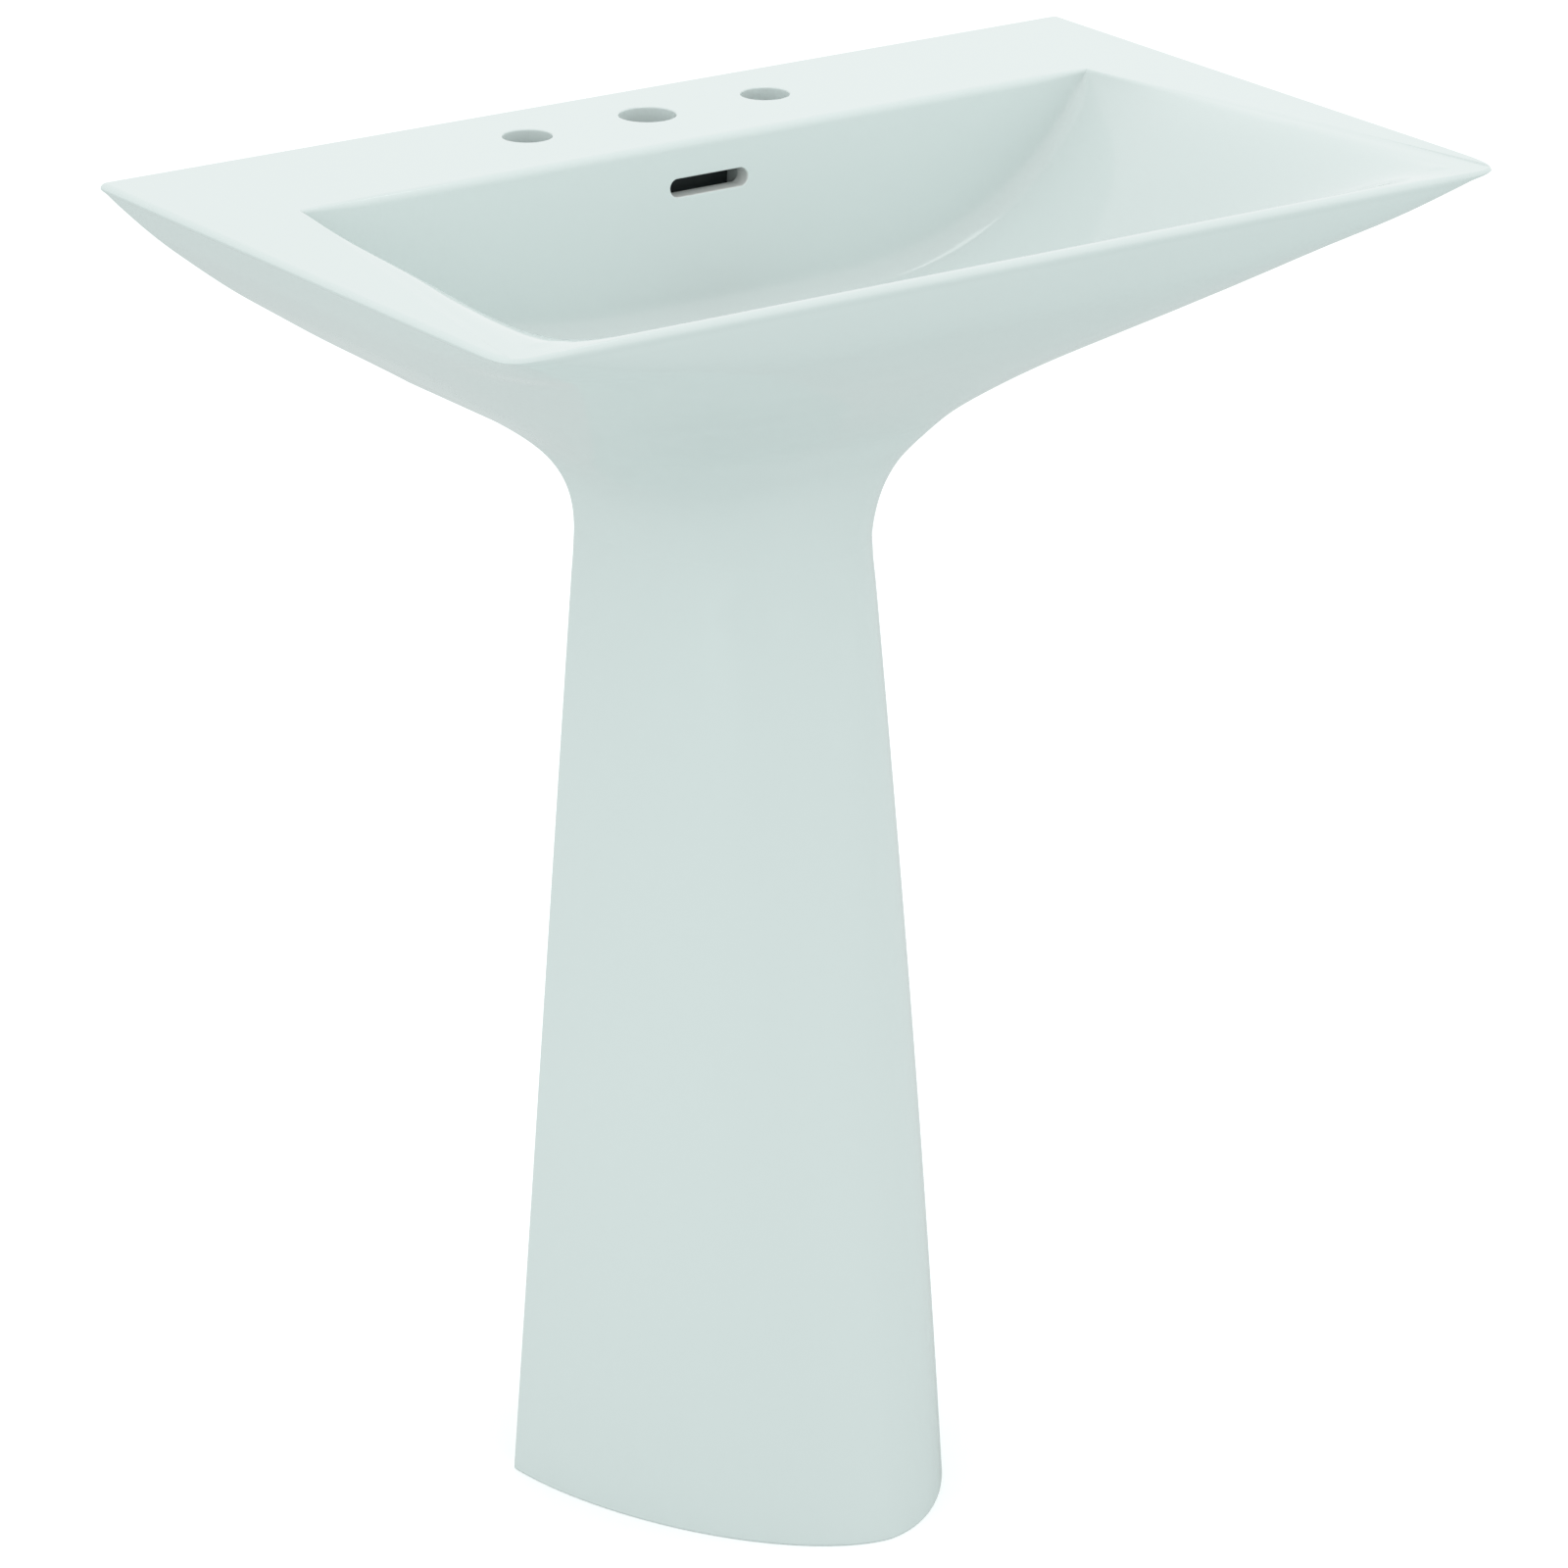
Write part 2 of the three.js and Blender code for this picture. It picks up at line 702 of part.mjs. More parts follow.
// Heights down the waste fitting, each piece laid against the one before.
const upperSealBottom = recessFloor + fitGap;
const flangeBottom = upperSealBottom + sealThickness + fitGap;
const flangeTop = flangeBottom + flangeThickness;
const wasteBodyBottom = flangeTop - wasteBodyLength;
const lowerSealTop = bossBottom - fitGap;
const washerTop = lowerSealTop - lowerSealHeight - fitGap;
const backNutTop = washerTop - washerThickness - fitGap;
const slideRadius = wasteTubeRadius + fitGap;
const bridgeTop = flangeTop - bridgeDrop;
const cartridgeBottom = bridgeTop + fitGap;
const cartridgeTop = cartridgeBottom + cartridgeLength;
const sealStand = plugSealHeight + fitGap - sealGrooveDepth;
const closedCapBottom = flangeTop + fitGap + sealStand;
const capBottom = closedCapBottom + plugTravel;

function makeWasteBody() {
  const tube = turnedRing([
    [wasteBoreRadius, wasteBodyBottom],
    [wasteTubeRadius, wasteBodyBottom],
    [wasteTubeRadius, flangeBottom],
    [flangeRadius, flangeBottom],
    [flangeRadius, flangeTop - flangeThickness / 2],
    [flangeRadius - flangeThickness / 2, flangeTop],
    [wasteBoreRadius + flangeChamfer, flangeTop],
    [wasteBoreRadius, flangeTop - flangeChamfer],
  ], fineSides);
  const bridgeMiddle = bridgeTop - bridgeHeight / 2;
  const reach = wasteBoreRadius + wasteTubeRadius;
  const bar = solid(block(reach, bridgeWidth, bridgeHeight, 0, 0, bridgeMiddle));
  const crossBar = solid(block(bridgeWidth, reach, bridgeHeight, 0, 0, bridgeMiddle));
  const hub = solid(rod(hubRadius, bridgeTop - bridgeHeight, bridgeHeight, plainSides));
  const bore = solid(rod(
    hubBoreRadius,
    bridgeTop - bridgeHeight - cutOverrun,
    bridgeHeight + 2 * cutOverrun,
    smallSides,
  ));
  const portMiddle = mix(bridgeTop, flangeBottom, 1 / 2);
  const portReach = 2 * (wasteTubeRadius + cutOverrun);
  const core = solid(rod(wasteBoreRadius - fitGap, bridgeTop, portReach, fineSides));
  const ports = [
    solid(block(portReach, overflowPortWidth, overflowPortHeight, 0, 0, portMiddle)),
    solid(block(overflowPortWidth, portReach, overflowPortHeight, 0, 0, portMiddle)),
  ];
  let body = solid(tube).add(bar).add(crossBar).add(hub).subtract(bore);
  ports.forEach((port) => {
    body = body.subtract(port.subtract(core));
  });
  add('waste_body', atDrain(geometryOf(body)), chrome);
}

function makeWasteFitting() {
  makeWasteBody();
  const upperSeal = plainRing(
    flangeRadius - fitGap,
    drainBoreRadius,
    upperSealBottom,
    sealThickness,
    fineSides,
  );
  add('waste_upper_seal', atDrain(upperSeal), rubber);
  const lowerSealBottom = lowerSealTop - lowerSealHeight;
  const lowerSeal = turnedRing([
    [slideRadius, lowerSealBottom],
    [washerRadius, lowerSealBottom],
    [lowerSealRadius, mix(lowerSealBottom, lowerSealTop, 1 / 2)],
    [drainBoreRadius + lowerSealHeight, lowerSealTop],
    [slideRadius, lowerSealTop],
  ], fineSides);
  add('waste_lower_seal', atDrain(lowerSeal), rubber);
  const washerBottom = washerTop - washerThickness;
  const washer = plainRing(washerRadius, slideRadius, washerBottom, washerThickness, fineSides);
  add('waste_washer', atDrain(washer), nylon);
  const nut = hexRing(backNutAcrossFlats, slideRadius, backNutTop - backNutHeight, backNutHeight);
  add('waste_back_nut', atDrain(closed(nut)), brass);
}

function makePlug() {
  const boreBottom = cartridgeTop - cartridgeBoreDepth;
  const cartridge = turned([
    [0, cartridgeBottom - cartridgeStudLength],
    [cartridgeStudRadius, cartridgeBottom - cartridgeStudLength],
    [cartridgeStudRadius, cartridgeBottom],
    [cartridgeRadius, cartridgeBottom],
    [cartridgeRadius, cartridgeTop],
    [stemRadius + fitGap, cartridgeTop],
    [stemRadius + fitGap, boreBottom],
    [0, boreBottom],
  ], plainSides);
  add('plug_cartridge', atDrain(cartridge), greyPlastic);
  const capTop = capBottom + capThickness;
  const hubBottom = capBottom - capHubHeight;
  const grooveTop = capBottom + sealGrooveDepth;
  const socketTop = capBottom + capThickness / 2;
  const cap = turned([
    [0, socketTop],
    [stemRadius + fitGap, socketTop],
    [stemRadius + fitGap, hubBottom],
    [capHubRadius, hubBottom],
    [capHubRadius, capBottom],
    [plugSealBore - fitGap, capBottom],
    [plugSealBore - fitGap, grooveTop],
    [plugSealRadius + fitGap, grooveTop],
    [plugSealRadius + fitGap, capBottom],
    [capRadius, capBottom],
    [capRadius, capTop - capEdgeRound],
    [capRadius - capEdgeRound, capTop],
    [capRadius / 2, mix(capTop, capTop + capCrown, 3 / 4)],
    [0, capTop + capCrown],
  ], fineSides);
  add('plug_cap', atDrain(cap), chrome);
  const stemTop = socketTop - fitGap;
  const stem = rod(stemRadius, stemTop - stemLength, stemLength, smallSides);
  add('plug_stem', atDrain(stem), steel);
  const seal = plainRing(
    plugSealRadius,
    plugSealBore,
    capBottom - sealStand,
    plugSealHeight,
    fineSides,
  );
  add('plug_seal', atDrain(seal), rubber);
}

// Heights down the trap, from the waste fitting's end and from the outlet's axis.
const tubePass = trapTubeRadius + fitGap;
const tubeTopHeight = wasteBodyBottom - 2 * fitGap - slipSealHeight;
const trapHeadTop = outletHeight + outletBelowHeadTop;
const trapNeckTop = trapHeadTop + trapNeckHeight;
const trapHeadBottom = trapHeadTop - trapHeadHeight;
const spigotBottom = trapHeadBottom - spigotHeight;
const cupTop = trapHeadBottom - fitGap;
const cupBottom = cupTop - cupHeight;
const tubeBottomHeight = cupBottom + cupFoot + tubeDipClearance;
const outletStubEnd = drainSetback - outletStubLength;

function makeInlet() {
  const collarBottom = tubeTopHeight - collarHeight;
  const bore = trapTubeRadius - trapTubeWall;
  const tube = turnedRing([
    [bore, tubeBottomHeight],
    [trapTubeRadius, tubeBottomHeight],
    [trapTubeRadius, collarBottom],
    [collarRadius, collarBottom],
    [collarRadius, tubeTopHeight],
    [bore, tubeTopHeight],
  ], plainSides);
  add('inlet_tube', atDrain(tube), chrome);
  const sealBottom = tubeTopHeight + fitGap;
  const seal = plainRing(collarRadius, bore, sealBottom, slipSealHeight, plainSides);
  add('coupling_seal', atDrain(seal), rubber);
  const skirt = slipNutHeight - slipNutLip;
  const nut = slipNut(slipNutAcrossFlats, slideRadius, tubePass, skirt, slipNutLip);
  nut.rotateX(Math.PI);
  const lipTop = collarBottom - fitGap;
  add('coupling_nut', atDrain(nut.translate(0, 0, lipTop + skirt)), chrome);
}

function makeTrapHead() {
  const innerRadius = trapHeadRadius - trapHeadWall;
  const chamberTop = trapHeadTop - trapHeadWall;
  const shell = turnedRing([
    [innerRadius, spigotBottom],
    [spigotRadius, spigotBottom],
    [spigotRadius, trapHeadBottom],
    [trapHeadRadius, trapHeadBottom],
    [trapHeadRadius, trapHeadTop - trapHeadWall],
    [trapHeadRadius - trapHeadWall, trapHeadTop],
    [trapNeckRadius, trapHeadTop],
    [trapNeckRadius, trapNeckTop],
    [tubePass, trapNeckTop],
    [tubePass, chamberTop],
    [innerRadius, chamberTop],
  ], fineSides);
  const stub = rod(outletStubRadius, 0, outletStubLength, plainSides).rotateX(-Math.PI / 2);
  const bore = rod(tubePass, 0, outletStubLength + cutOverrun, plainSides).rotateX(-Math.PI / 2);
  const chamberHeight = chamberTop - spigotBottom;
  const chamber = rod(innerRadius, spigotBottom, chamberHeight, fineSides);
  const outlet = solid(stub.translate(0, 0, outletHeight)).subtract(solid(chamber));
  const body = solid(shell).add(outlet).subtract(solid(bore.translate(0, 0, outletHeight)));
  add('trap_head', atDrain(geometryOf(body)), chrome);
}

function makeInletNut() {
  const sealBottom = trapNeckTop + fitGap;
  const seal = turnedRing([
    [tubePass, sealBottom],
    [trapNeckRadius - fitGap, sealBottom],
    [trapNeckRadius, sealBottom + inletSealHeight],
    [tubePass, sealBottom + inletSealHeight],
  ], plainSides);
  add('inlet_seal', atDrain(seal), rubber);
  const skirt = inletNutHeight - slipNutLip;
  const nut = slipNut(inletNutAcrossFlats, trapNeckRadius + fitGap, tubePass, skirt, slipNutLip);
  const lipBottom = sealBottom + inletSealHeight + fitGap;
  add('inlet_nut', atDrain(nut.translate(0, 0, lipBottom - skirt)), chrome);
}

function makeTrapCup() {
  const ledge = spigotBottom - fitGap - cupSealHeight - fitGap;
  const innerRadius = spigotRadius + fitGap - cupWall;
  const cup = turned([
    [0, cupBottom],
    [cupRadius - cupEdgeRound, cupBottom],
    [cupRadius, cupBottom + cupEdgeRound],
    [cupRadius, cupTop - cupCollarHeight],
    [cupCollarRadius, cupTop - cupCollarHeight],
    [cupCollarRadius, cupTop],
    [spigotRadius + fitGap, cupTop],
    [spigotRadius + fitGap, ledge],
    [innerRadius, ledge],
    [innerRadius, cupBottom + cupFoot + cupEdgeRound],
    [innerRadius - cupEdgeRound, cupBottom + cupFoot],
    [0, cupBottom + cupFoot],
  ], fineSides);
  add('trap_cup', atDrain(cup), chrome);
  const seal = plainRing(spigotRadius, innerRadius, ledge + fitGap, cupSealHeight, fineSides);
  add('cup_seal', atDrain(seal), rubber);
}

// Moves a solid made about Z, its zero at a setback, so that its Z runs along Y to the wall.
function alongOutlet(geometry, setback) {
  return geometry.rotateX(-Math.PI / 2).translate(0, -setback, outletHeight);
}

function makeOutlet() {
  const sealStart = outletStubEnd - fitGap;
  const seal = turnedRing([
    [tubePass, 0],
    [outletStubRadius - fitGap, 0],
    [outletStubRadius, outletSealHeight],
    [tubePass, outletSealHeight],
  ], plainSides);
  add('outlet_seal', alongOutlet(seal, sealStart), rubber);
  const skirt = outletNutHeight - slipNutLip;
  const nut = slipNut(outletNutAcrossFlats, outletStubRadius + fitGap, tubePass, skirt, slipNutLip);
  const lipStart = sealStart - outletSealHeight - fitGap;
  add('outlet_nut', alongOutlet(nut, lipStart + skirt), chrome);
  const pipeStart = outletStubEnd + pipeInsertion;
  const pipe = plainRing(
    trapTubeRadius,
    trapTubeRadius - trapTubeWall,
    0,
    pipeStart + pipeEmbedment,
    plainSides,
  );
  add('outlet_pipe', alongOutlet(pipe, pipeStart), chrome);
  const crown = rosetteRadius - rosetteDepth;
  const rosette = turnedRing([
    [tubePass, 0],
    [crown - rosetteRim, 0],
    [crown, rosetteRim],
    [rosetteRadius, rosetteDepth - rosetteRim],
    [rosetteRadius, rosetteDepth],
    [rosetteRadius - rosetteWall, rosetteDepth],
    [crown - rosetteWall, rosetteRim + rosetteWall],
    [tubePass, rosetteRim + rosetteWall],
  ], fineSides);
  add('wall_rosette', alongOutlet(rosette, rosetteDepth + fitGap), chrome);
}

// Moves a solid made about Z to a fixing's axis, its zero at a setback and its Z running into the wall.
function atFixing(geometry, x, setback) {
  return geometry.rotateX(-Math.PI / 2).translate(x, -setback, wallFixingHeight);
}

function plugProfile() {
  const bore = boltRadius + fitGap;
  const outer = [[plugRadius, 0]];
  const pitch = (plugLength - 2 * plugMouth) / plugGrooves;
  for (let i = 0; i < plugGrooves; i += 1) {
    const start = plugMouth + i * pitch;
    outer.push([plugRadius, start + pitch / 2]);
    outer.push([plugRadius - plugGroove, start + pitch / 2]);
    outer.push([plugRadius, start + pitch]);
  }
  outer.push([plugRadius - plugGroove, plugLength]);
  return [[bore, 0], ...outer, [bore, plugLength]];
}

function makeWallFixing(side, x) {
  const bolt = turned([
    [0, 0],
    [boltRadius - boltChamfer, 0],
    [boltRadius, boltChamfer],
    [boltRadius, boltFrontLength + boltWallLength - boltTipLength],
    [boltTipRadius, boltFrontLength + boltWallLength],
    [0, boltFrontLength + boltWallLength],
  ], smallSides);
  add(`hanger_bolt_${side}`, atFixing(bolt, x, boltFrontLength), steel);
  const plug = turnedRing(plugProfile(), smallSides);
  add(`wall_plug_${side}`, atFixing(plug, x, -fitGap), greyPlastic);
  const bore = boltRadius + fitGap;
  const bushFront = apronThickness + bushFlangeThickness + fitGap;
  const bush = turnedRing([
    [bore, 0],
    [bushFlangeRadius, 0],
    [bushFlangeRadius, bushFlangeThickness],
    [bushRadius, bushFlangeThickness],
    [bushRadius, bushFront],
    [bore, bushFront],
  ], plainSides);
  add(`bolt_bush_${side}`, atFixing(bush, x, bushFront), nylon);
  const washerFront = bushFront + boltWasherThickness + fitGap;
  const washer = plainRing(boltWasherRadius, bore, 0, boltWasherThickness, plainSides);
  add(`bolt_washer_${side}`, atFixing(washer, x, washerFront), steel);
  const nutFront = washerFront + boltNutHeight + fitGap;
  const nut = hexRing(boltNutAcrossFlats, bore, 0, boltNutHeight);
  add(`bolt_nut_${side}`, atFixing(nut, x, nutFront), steel);
}

makeBasin();
makePedestal();
makeJointStrip();
makeWasteFitting();
makePlug();
makeInlet();
makeTrapHead();
makeInletNut();
makeTrapCup();
makeOutlet();
makeWallFixing('left', -boltSpacing / 2);
makeWallFixing('right', boltSpacing / 2);

// The part's own frame has its origin on the floor under the middle of its outline.
const wallSide = Math.max(plugLength + fitGap, boltWallLength);
part.position.y = (deckDepth - wallSide) / 2;
const group = new THREE.Group();
group.add(part);

export default group;
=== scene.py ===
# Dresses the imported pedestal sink. Tables are in millimetres, with a setback measured forward from the
# wall and a drop measured down from the deck. The scene itself is in metres.
import math

import bmesh
import bpy
import numpy as np
from mathutils import Matrix, Vector


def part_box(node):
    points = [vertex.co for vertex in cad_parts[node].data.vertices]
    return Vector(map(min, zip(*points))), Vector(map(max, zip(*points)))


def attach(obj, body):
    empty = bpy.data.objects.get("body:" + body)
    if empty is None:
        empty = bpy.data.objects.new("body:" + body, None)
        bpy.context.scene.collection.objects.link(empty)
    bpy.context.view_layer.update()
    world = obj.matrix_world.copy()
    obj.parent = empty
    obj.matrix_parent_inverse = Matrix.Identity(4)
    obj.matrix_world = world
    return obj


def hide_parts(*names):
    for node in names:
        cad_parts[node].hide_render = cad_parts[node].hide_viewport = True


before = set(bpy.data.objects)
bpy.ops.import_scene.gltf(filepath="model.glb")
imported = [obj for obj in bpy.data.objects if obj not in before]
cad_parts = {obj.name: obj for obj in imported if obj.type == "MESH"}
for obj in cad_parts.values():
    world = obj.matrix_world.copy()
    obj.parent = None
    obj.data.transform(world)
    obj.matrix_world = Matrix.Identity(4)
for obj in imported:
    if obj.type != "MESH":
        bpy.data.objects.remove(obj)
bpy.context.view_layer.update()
mm = 0.001
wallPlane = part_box("basin")[1][1] / mm  # the wall's plane along Y
print("frame loaded")

# Camera

camera = {
    "place": (-2.4167, -3.4876, 2.0117),
    "turn": (69.902, 0, -34.797),
    "lens": 170.31,
    "sensor": 36,
    "farthest": 60,
}


def linked(name, data):
    made = bpy.data.objects.new(name, data)
    bpy.context.scene.collection.objects.link(made)
    return made


def makeCamera():
    data = bpy.data.cameras.new("photoCamera")
    data.lens, data.sensor_width = camera["lens"], camera["sensor"]
    data.clip_end = camera["farthest"]
    seen = linked("photoCamera", data)
    seen.location = camera["place"]
    seen.rotation_euler = [math.radians(angle) for angle in camera["turn"]]
    bpy.context.scene.camera = seen


makeCamera()

# Node building


def addNode(tree, kind, inputs=None, **settings):
    # Inputs are given by name or by number.
    node = tree.nodes.new(kind)
    for name, value in settings.items():
        setattr(node, name, value)
    for name, value in (inputs or {}).items():
        joinTo(tree, value, node.inputs[name])
    return node


def joinTo(tree, value, socket):
    # Links a socket, or sets a plain value.
    if isinstance(value, bpy.types.NodeSocket):
        tree.links.new(value, socket)
    else:
        socket.default_value = value


def calc(tree, operation, *values):
    return addNode(tree, "ShaderNodeMath", dict(enumerate(values)), operation=operation).outputs[0]


def mixedColour(tree, share, first, second):
    inputs = {"Factor": share, "A": first, "B": second}
    return addNode(tree, "ShaderNodeMix", inputs, data_type="RGBA").outputs["Result"]


def keyOf(title):
    # The key in a table that a socket's title stands for.
    return title[0].lower() + title[1:].replace(" ", "")


def closeShape(tree, geometry, finish, results):
    # The last nodes of a shape's group.
    whole = addNode(tree, "GeometryNodeRealizeInstances", {"Geometry": geometry})
    dressed = addNode(tree, "GeometryNodeSetMaterial", {"Geometry": whole.outputs[0], "Material": finish})
    joinTo(tree, dressed.outputs[0], results["Geometry"])


def openTree(name, kind, inputs, outputs):
    # A node group and its sockets. A number is a socket's value, a word names a kind that has none.
    tree = bpy.data.node_groups.new(name, kind)
    for direction, sockets in (("INPUT", inputs), ("OUTPUT", outputs)):
        for title, value in sockets.items():
            word = {int: "Int", float: "Float"}.get(type(value), value)
            socket = tree.interface.new_socket(name=title, in_out=direction, socket_type=f"NodeSocket{word}")
            if word != value:
                socket.default_value = value
    return tree, tree.nodes.new("NodeGroupInput").outputs, tree.nodes.new("NodeGroupOutput").inputs


# Effects that several finishes share


surfaceOutputs = {"Colour": "Color", "Mask": "Float", "Normal": "Vector"}


def addNoise(tree, scale, detail, roughness=0.5):
    where = addNode(tree, "ShaderNodeTexCoord").outputs["Object"]
    inputs = {"Vector": where, "Scale": scale, "Detail": detail, "Roughness": roughness}
    return addNode(tree, "ShaderNodeTexNoise", inputs).outputs["Fac"]


def closeSurface(tree, results, colour, mask, height, depth):
    # Hands on a colour, a mask and the normal that a height gives.
    bump = addNode(tree, "ShaderNodeBump", {"Height": height, "Distance": depth})
    for title, value in (("Colour", colour), ("Mask", mask), ("Normal", bump.outputs["Normal"])):
        joinTo(tree, value, results[title])


def unevenGroup():
    # Slow change of tone and of the surface, as a fired glaze or a cast part has.
    numbers = {"Tone Scale": 3.0, "Tone Amount": 0.02, "Ripple Scale": 60.0, "Ripple Depth": 0.0001}
    inputs = {"Colour": "Color", **numbers}
    tree, given, results = openTree("unevenSurface", "ShaderNodeTree", inputs, surfaceOutputs)
    tone = addNoise(tree, given["Tone Scale"], 2.0)
    gain = calc(tree, "MULTIPLY_ADD", calc(tree, "SUBTRACT", tone, 0.5), given["Tone Amount"], 1.0)
    toned = addNode(tree, "ShaderNodeVectorMath", {0: given["Colour"], "Scale": gain}, operation="SCALE")
    ripple = addNoise(tree, given["Ripple Scale"], 1.0)
    closeSurface(tree, results, toned.outputs[0], tone, ripple, given["Ripple Depth"])
    return tree


def speckGroup():
    # Fine specks and grain: clay, moulded plastic, rubber dust, tarnish.
    inputs = {"Colour": "Color", "Speck Colour": "Color", "Scale": 400.0, "Amount": 0.3, "Depth": 0.00005}
    tree, given, results = openTree("fineSpecks", "ShaderNodeTree", inputs, surfaceOutputs)
    grain = addNoise(tree, given["Scale"], 3.0, 0.6)
    strength = calc(tree, "MULTIPLY", grain, given["Amount"])
    colour = mixedColour(tree, strength, given["Colour"], given["Speck Colour"])
    closeSurface(tree, results, colour, grain, grain, given["Depth"])
    return tree


effects = {"uneven": unevenGroup(), "specks": speckGroup()}

# group, colours, roughness from and to, then the group's own numbers
looks = {
    "glaze": {
        "group": "uneven", "colour": (0.71, 0.79, 0.777), "roughness": (0.05, 0.085),
        "toneAmount": 0.012, "rippleScale": 26.0, "rippleDepth": 0.00003,
    },
    "thinGlaze": {
        "group": "uneven", "colour": (0.74, 0.775, 0.755), "roughness": (0.3, 0.5),
        "toneAmount": 0.08, "rippleScale": 90.0, "rippleDepth": 0.0003,
    },
    "clay": {
        "group": "specks", "colour": (0.71, 0.7, 0.66), "speckColour": (0.5, 0.47, 0.42),
        "roughness": (0.68, 0.9), "scale": 650.0, "amount": 0.35, "depth": 0.00012,
    },
    # painted shade: a near-black colour for the inside of the overflow duct, where the ceramic only lies in
    # shade
    "ductShade": {
        "group": "specks", "colour": (0.03, 0.042, 0.043), "speckColour": (0.055, 0.07, 0.07),
        "roughness": (0.35, 0.6), "scale": 240.0, "amount": 0.6, "depth": 0.0001,
    },
    "chrome": {
        "group": "uneven", "colour": (0.66, 0.67, 0.68), "metallic": 1.0, "roughness": (0.05, 0.13),
        "toneScale": 40.0, "toneAmount": 0.04, "rippleScale": 120.0, "rippleDepth": 0.00001,
    },
    "brass": {
        "group": "specks", "colour": (0.62, 0.43, 0.17), "speckColour": (0.36, 0.24, 0.1),
        "metallic": 1.0, "roughness": (0.24, 0.45), "scale": 160.0, "amount": 0.5, "depth": 0.00003,
    },
    "steel": {
        "group": "specks", "colour": (0.52, 0.53, 0.54), "speckColour": (0.33, 0.34, 0.35),
        "metallic": 1.0, "roughness": (0.26, 0.42), "scale": 300.0, "amount": 0.4, "depth": 0.00002,
    },
    "rubber": {
        "group": "specks", "colour": (0.022, 0.023, 0.024), "speckColour": (0.06, 0.06, 0.06),
        "roughness": (0.62, 0.85), "scale": 500.0, "amount": 0.5, "depth": 0.00006,
    },
    "nylon": {
        "group": "specks", "colour": (0.76, 0.75, 0.7), "speckColour": (0.66, 0.64, 0.58),
        "roughness": (0.42, 0.6), "scale": 260.0, "amount": 0.4, "depth": 0.00004,
    },
    "greyPlastic": {
        "group": "specks", "colour": (0.24, 0.26, 0.28), "speckColour": (0.18, 0.19, 0.2),
        "roughness": (0.45, 0.62), "scale": 320.0, "amount": 0.5, "depth": 0.00005,
    },
}


def makeFinish(name, look):
    # One material: its group gives colour, mask and normal, and the mask spreads the roughness.
    material = bpy.data.materials.new(name)
    material.use_nodes = True
    tree = material.node_tree
    shader = tree.nodes["Principled BSDF"].inputs
    shader["Metallic"].default_value = look.get("metallic", 0.0)
    surface = addNode(tree, "ShaderNodeGroup", node_tree=effects[look["group"]])
    for socket in surface.inputs:
        value = look.get(keyOf(socket.name))
        if value is not None:
            socket.default_value = (*value, 1) if socket.type == "RGBA" else value
    colour, mask, normal = [surface.outputs[title] for title in surfaceOutputs]
    smoothest, roughest = look["roughness"]
    spread = addNode(tree, "ShaderNodeMapRange", {"Value": mask, "To Min": smoothest, "To Max": roughest})
    joinTo(tree, spread.outputs["Result"], shader["Roughness"])
    joinTo(tree, colour, shader["Base Color"])
    joinTo(tree, normal, shader["Normal"])
    return material


finishes = {name: makeFinish(name, look) for name, look in looks.items()}
print("finishes made")

# The outside form, shared by the basin and the pedestal

outsideForm = {
    "deckHeight": 850,
    "deckHalfWidth": 350,
    "deckReach": 346,
    "pedestalSetback": 95,
    "seamDrop": 158.5,
    "seamHalfWidth": 139.6,
    "seamReach": 163.3,
    "seamSquareness": 2.9,
    "neckDrop": 237,
    "neckHalfWidth": 83.4,
    "neckReach": 143.5,
    "neckSquareness": 2.37,
    "footHalfWidth": 135.7,
    "footReach": 219.7,
    "footSquareness": 1.73,
    # drop, half width, reach as shares down to the seam, then squareness
    "upperShares": [
        (0, 1, 1, 60),
        (0.02, 1, 1, 45),
        (0.05, 0.977, 0.986, 24),
        (0.095, 0.945, 0.966, 16),
        (0.252, 0.822, 0.875, 6.25),
        (0.379, 0.705, 0.75, 4.8),
        (0.505, 0.581, 0.604, 3.94),
        (0.631, 0.439, 0.436, 3.5),
        (0.757, 0.295, 0.266, 3.18),
        (0.883, 0.14, 0.115, 3.02),
    ],
    # drop, half width, reach as shares from the seam down to the neck
    "flareShares": [
        (0, 1, 1),
        (0.111, 0.765, 0.77),
        (0.214, 0.573, 0.53),
        (0.338, 0.372, 0.253),
        (0.499, 0.19, 0.1),
        (0.656, 0.077, 0.03),
        (0.84, 0.012, 0.005),
    ],
    "shaftShares": [0, 0.04, 0.3, 1],
    "softening": 5.0,  # how far the stations are blended into each other
    "blurReach": 4,  # in softenings, on each side of a place
    "softenHold": 4,  # in softenings, until the blend has its full strength
    "sampleStep": 0.25,
}


def mix(low, high, share):
    return low + (high - low) * share


def outsideStations():
    form = outsideForm
    seam = (form["seamHalfWidth"], form["seamReach"], form["seamSquareness"])
    neck = (form["neckHalfWidth"], form["neckReach"], form["neckSquareness"])
    foot = (form["footHalfWidth"], form["footReach"], form["footSquareness"])
    stations = []
    for drop, width, reach, squareness in form["upperShares"]:
        stations.append((
            drop * form["seamDrop"],
            mix(seam[0], form["deckHalfWidth"], width),
            mix(seam[1], form["deckReach"], reach),
            squareness,
        ))
    for drop, width, reach in form["flareShares"]:
        stations.append((
            mix(form["seamDrop"], form["neckDrop"], drop),
            mix(neck[0], seam[0], width),
            mix(neck[1], seam[1], reach),
            mix(seam[2], neck[2], drop),
        ))
    for share in form["shaftShares"]:
        drop = mix(form["neckDrop"], form["deckHeight"], share)
        stations.append((drop, *(mix(neck[i], foot[i], share) for i in range(3))))
    return np.array(stations)


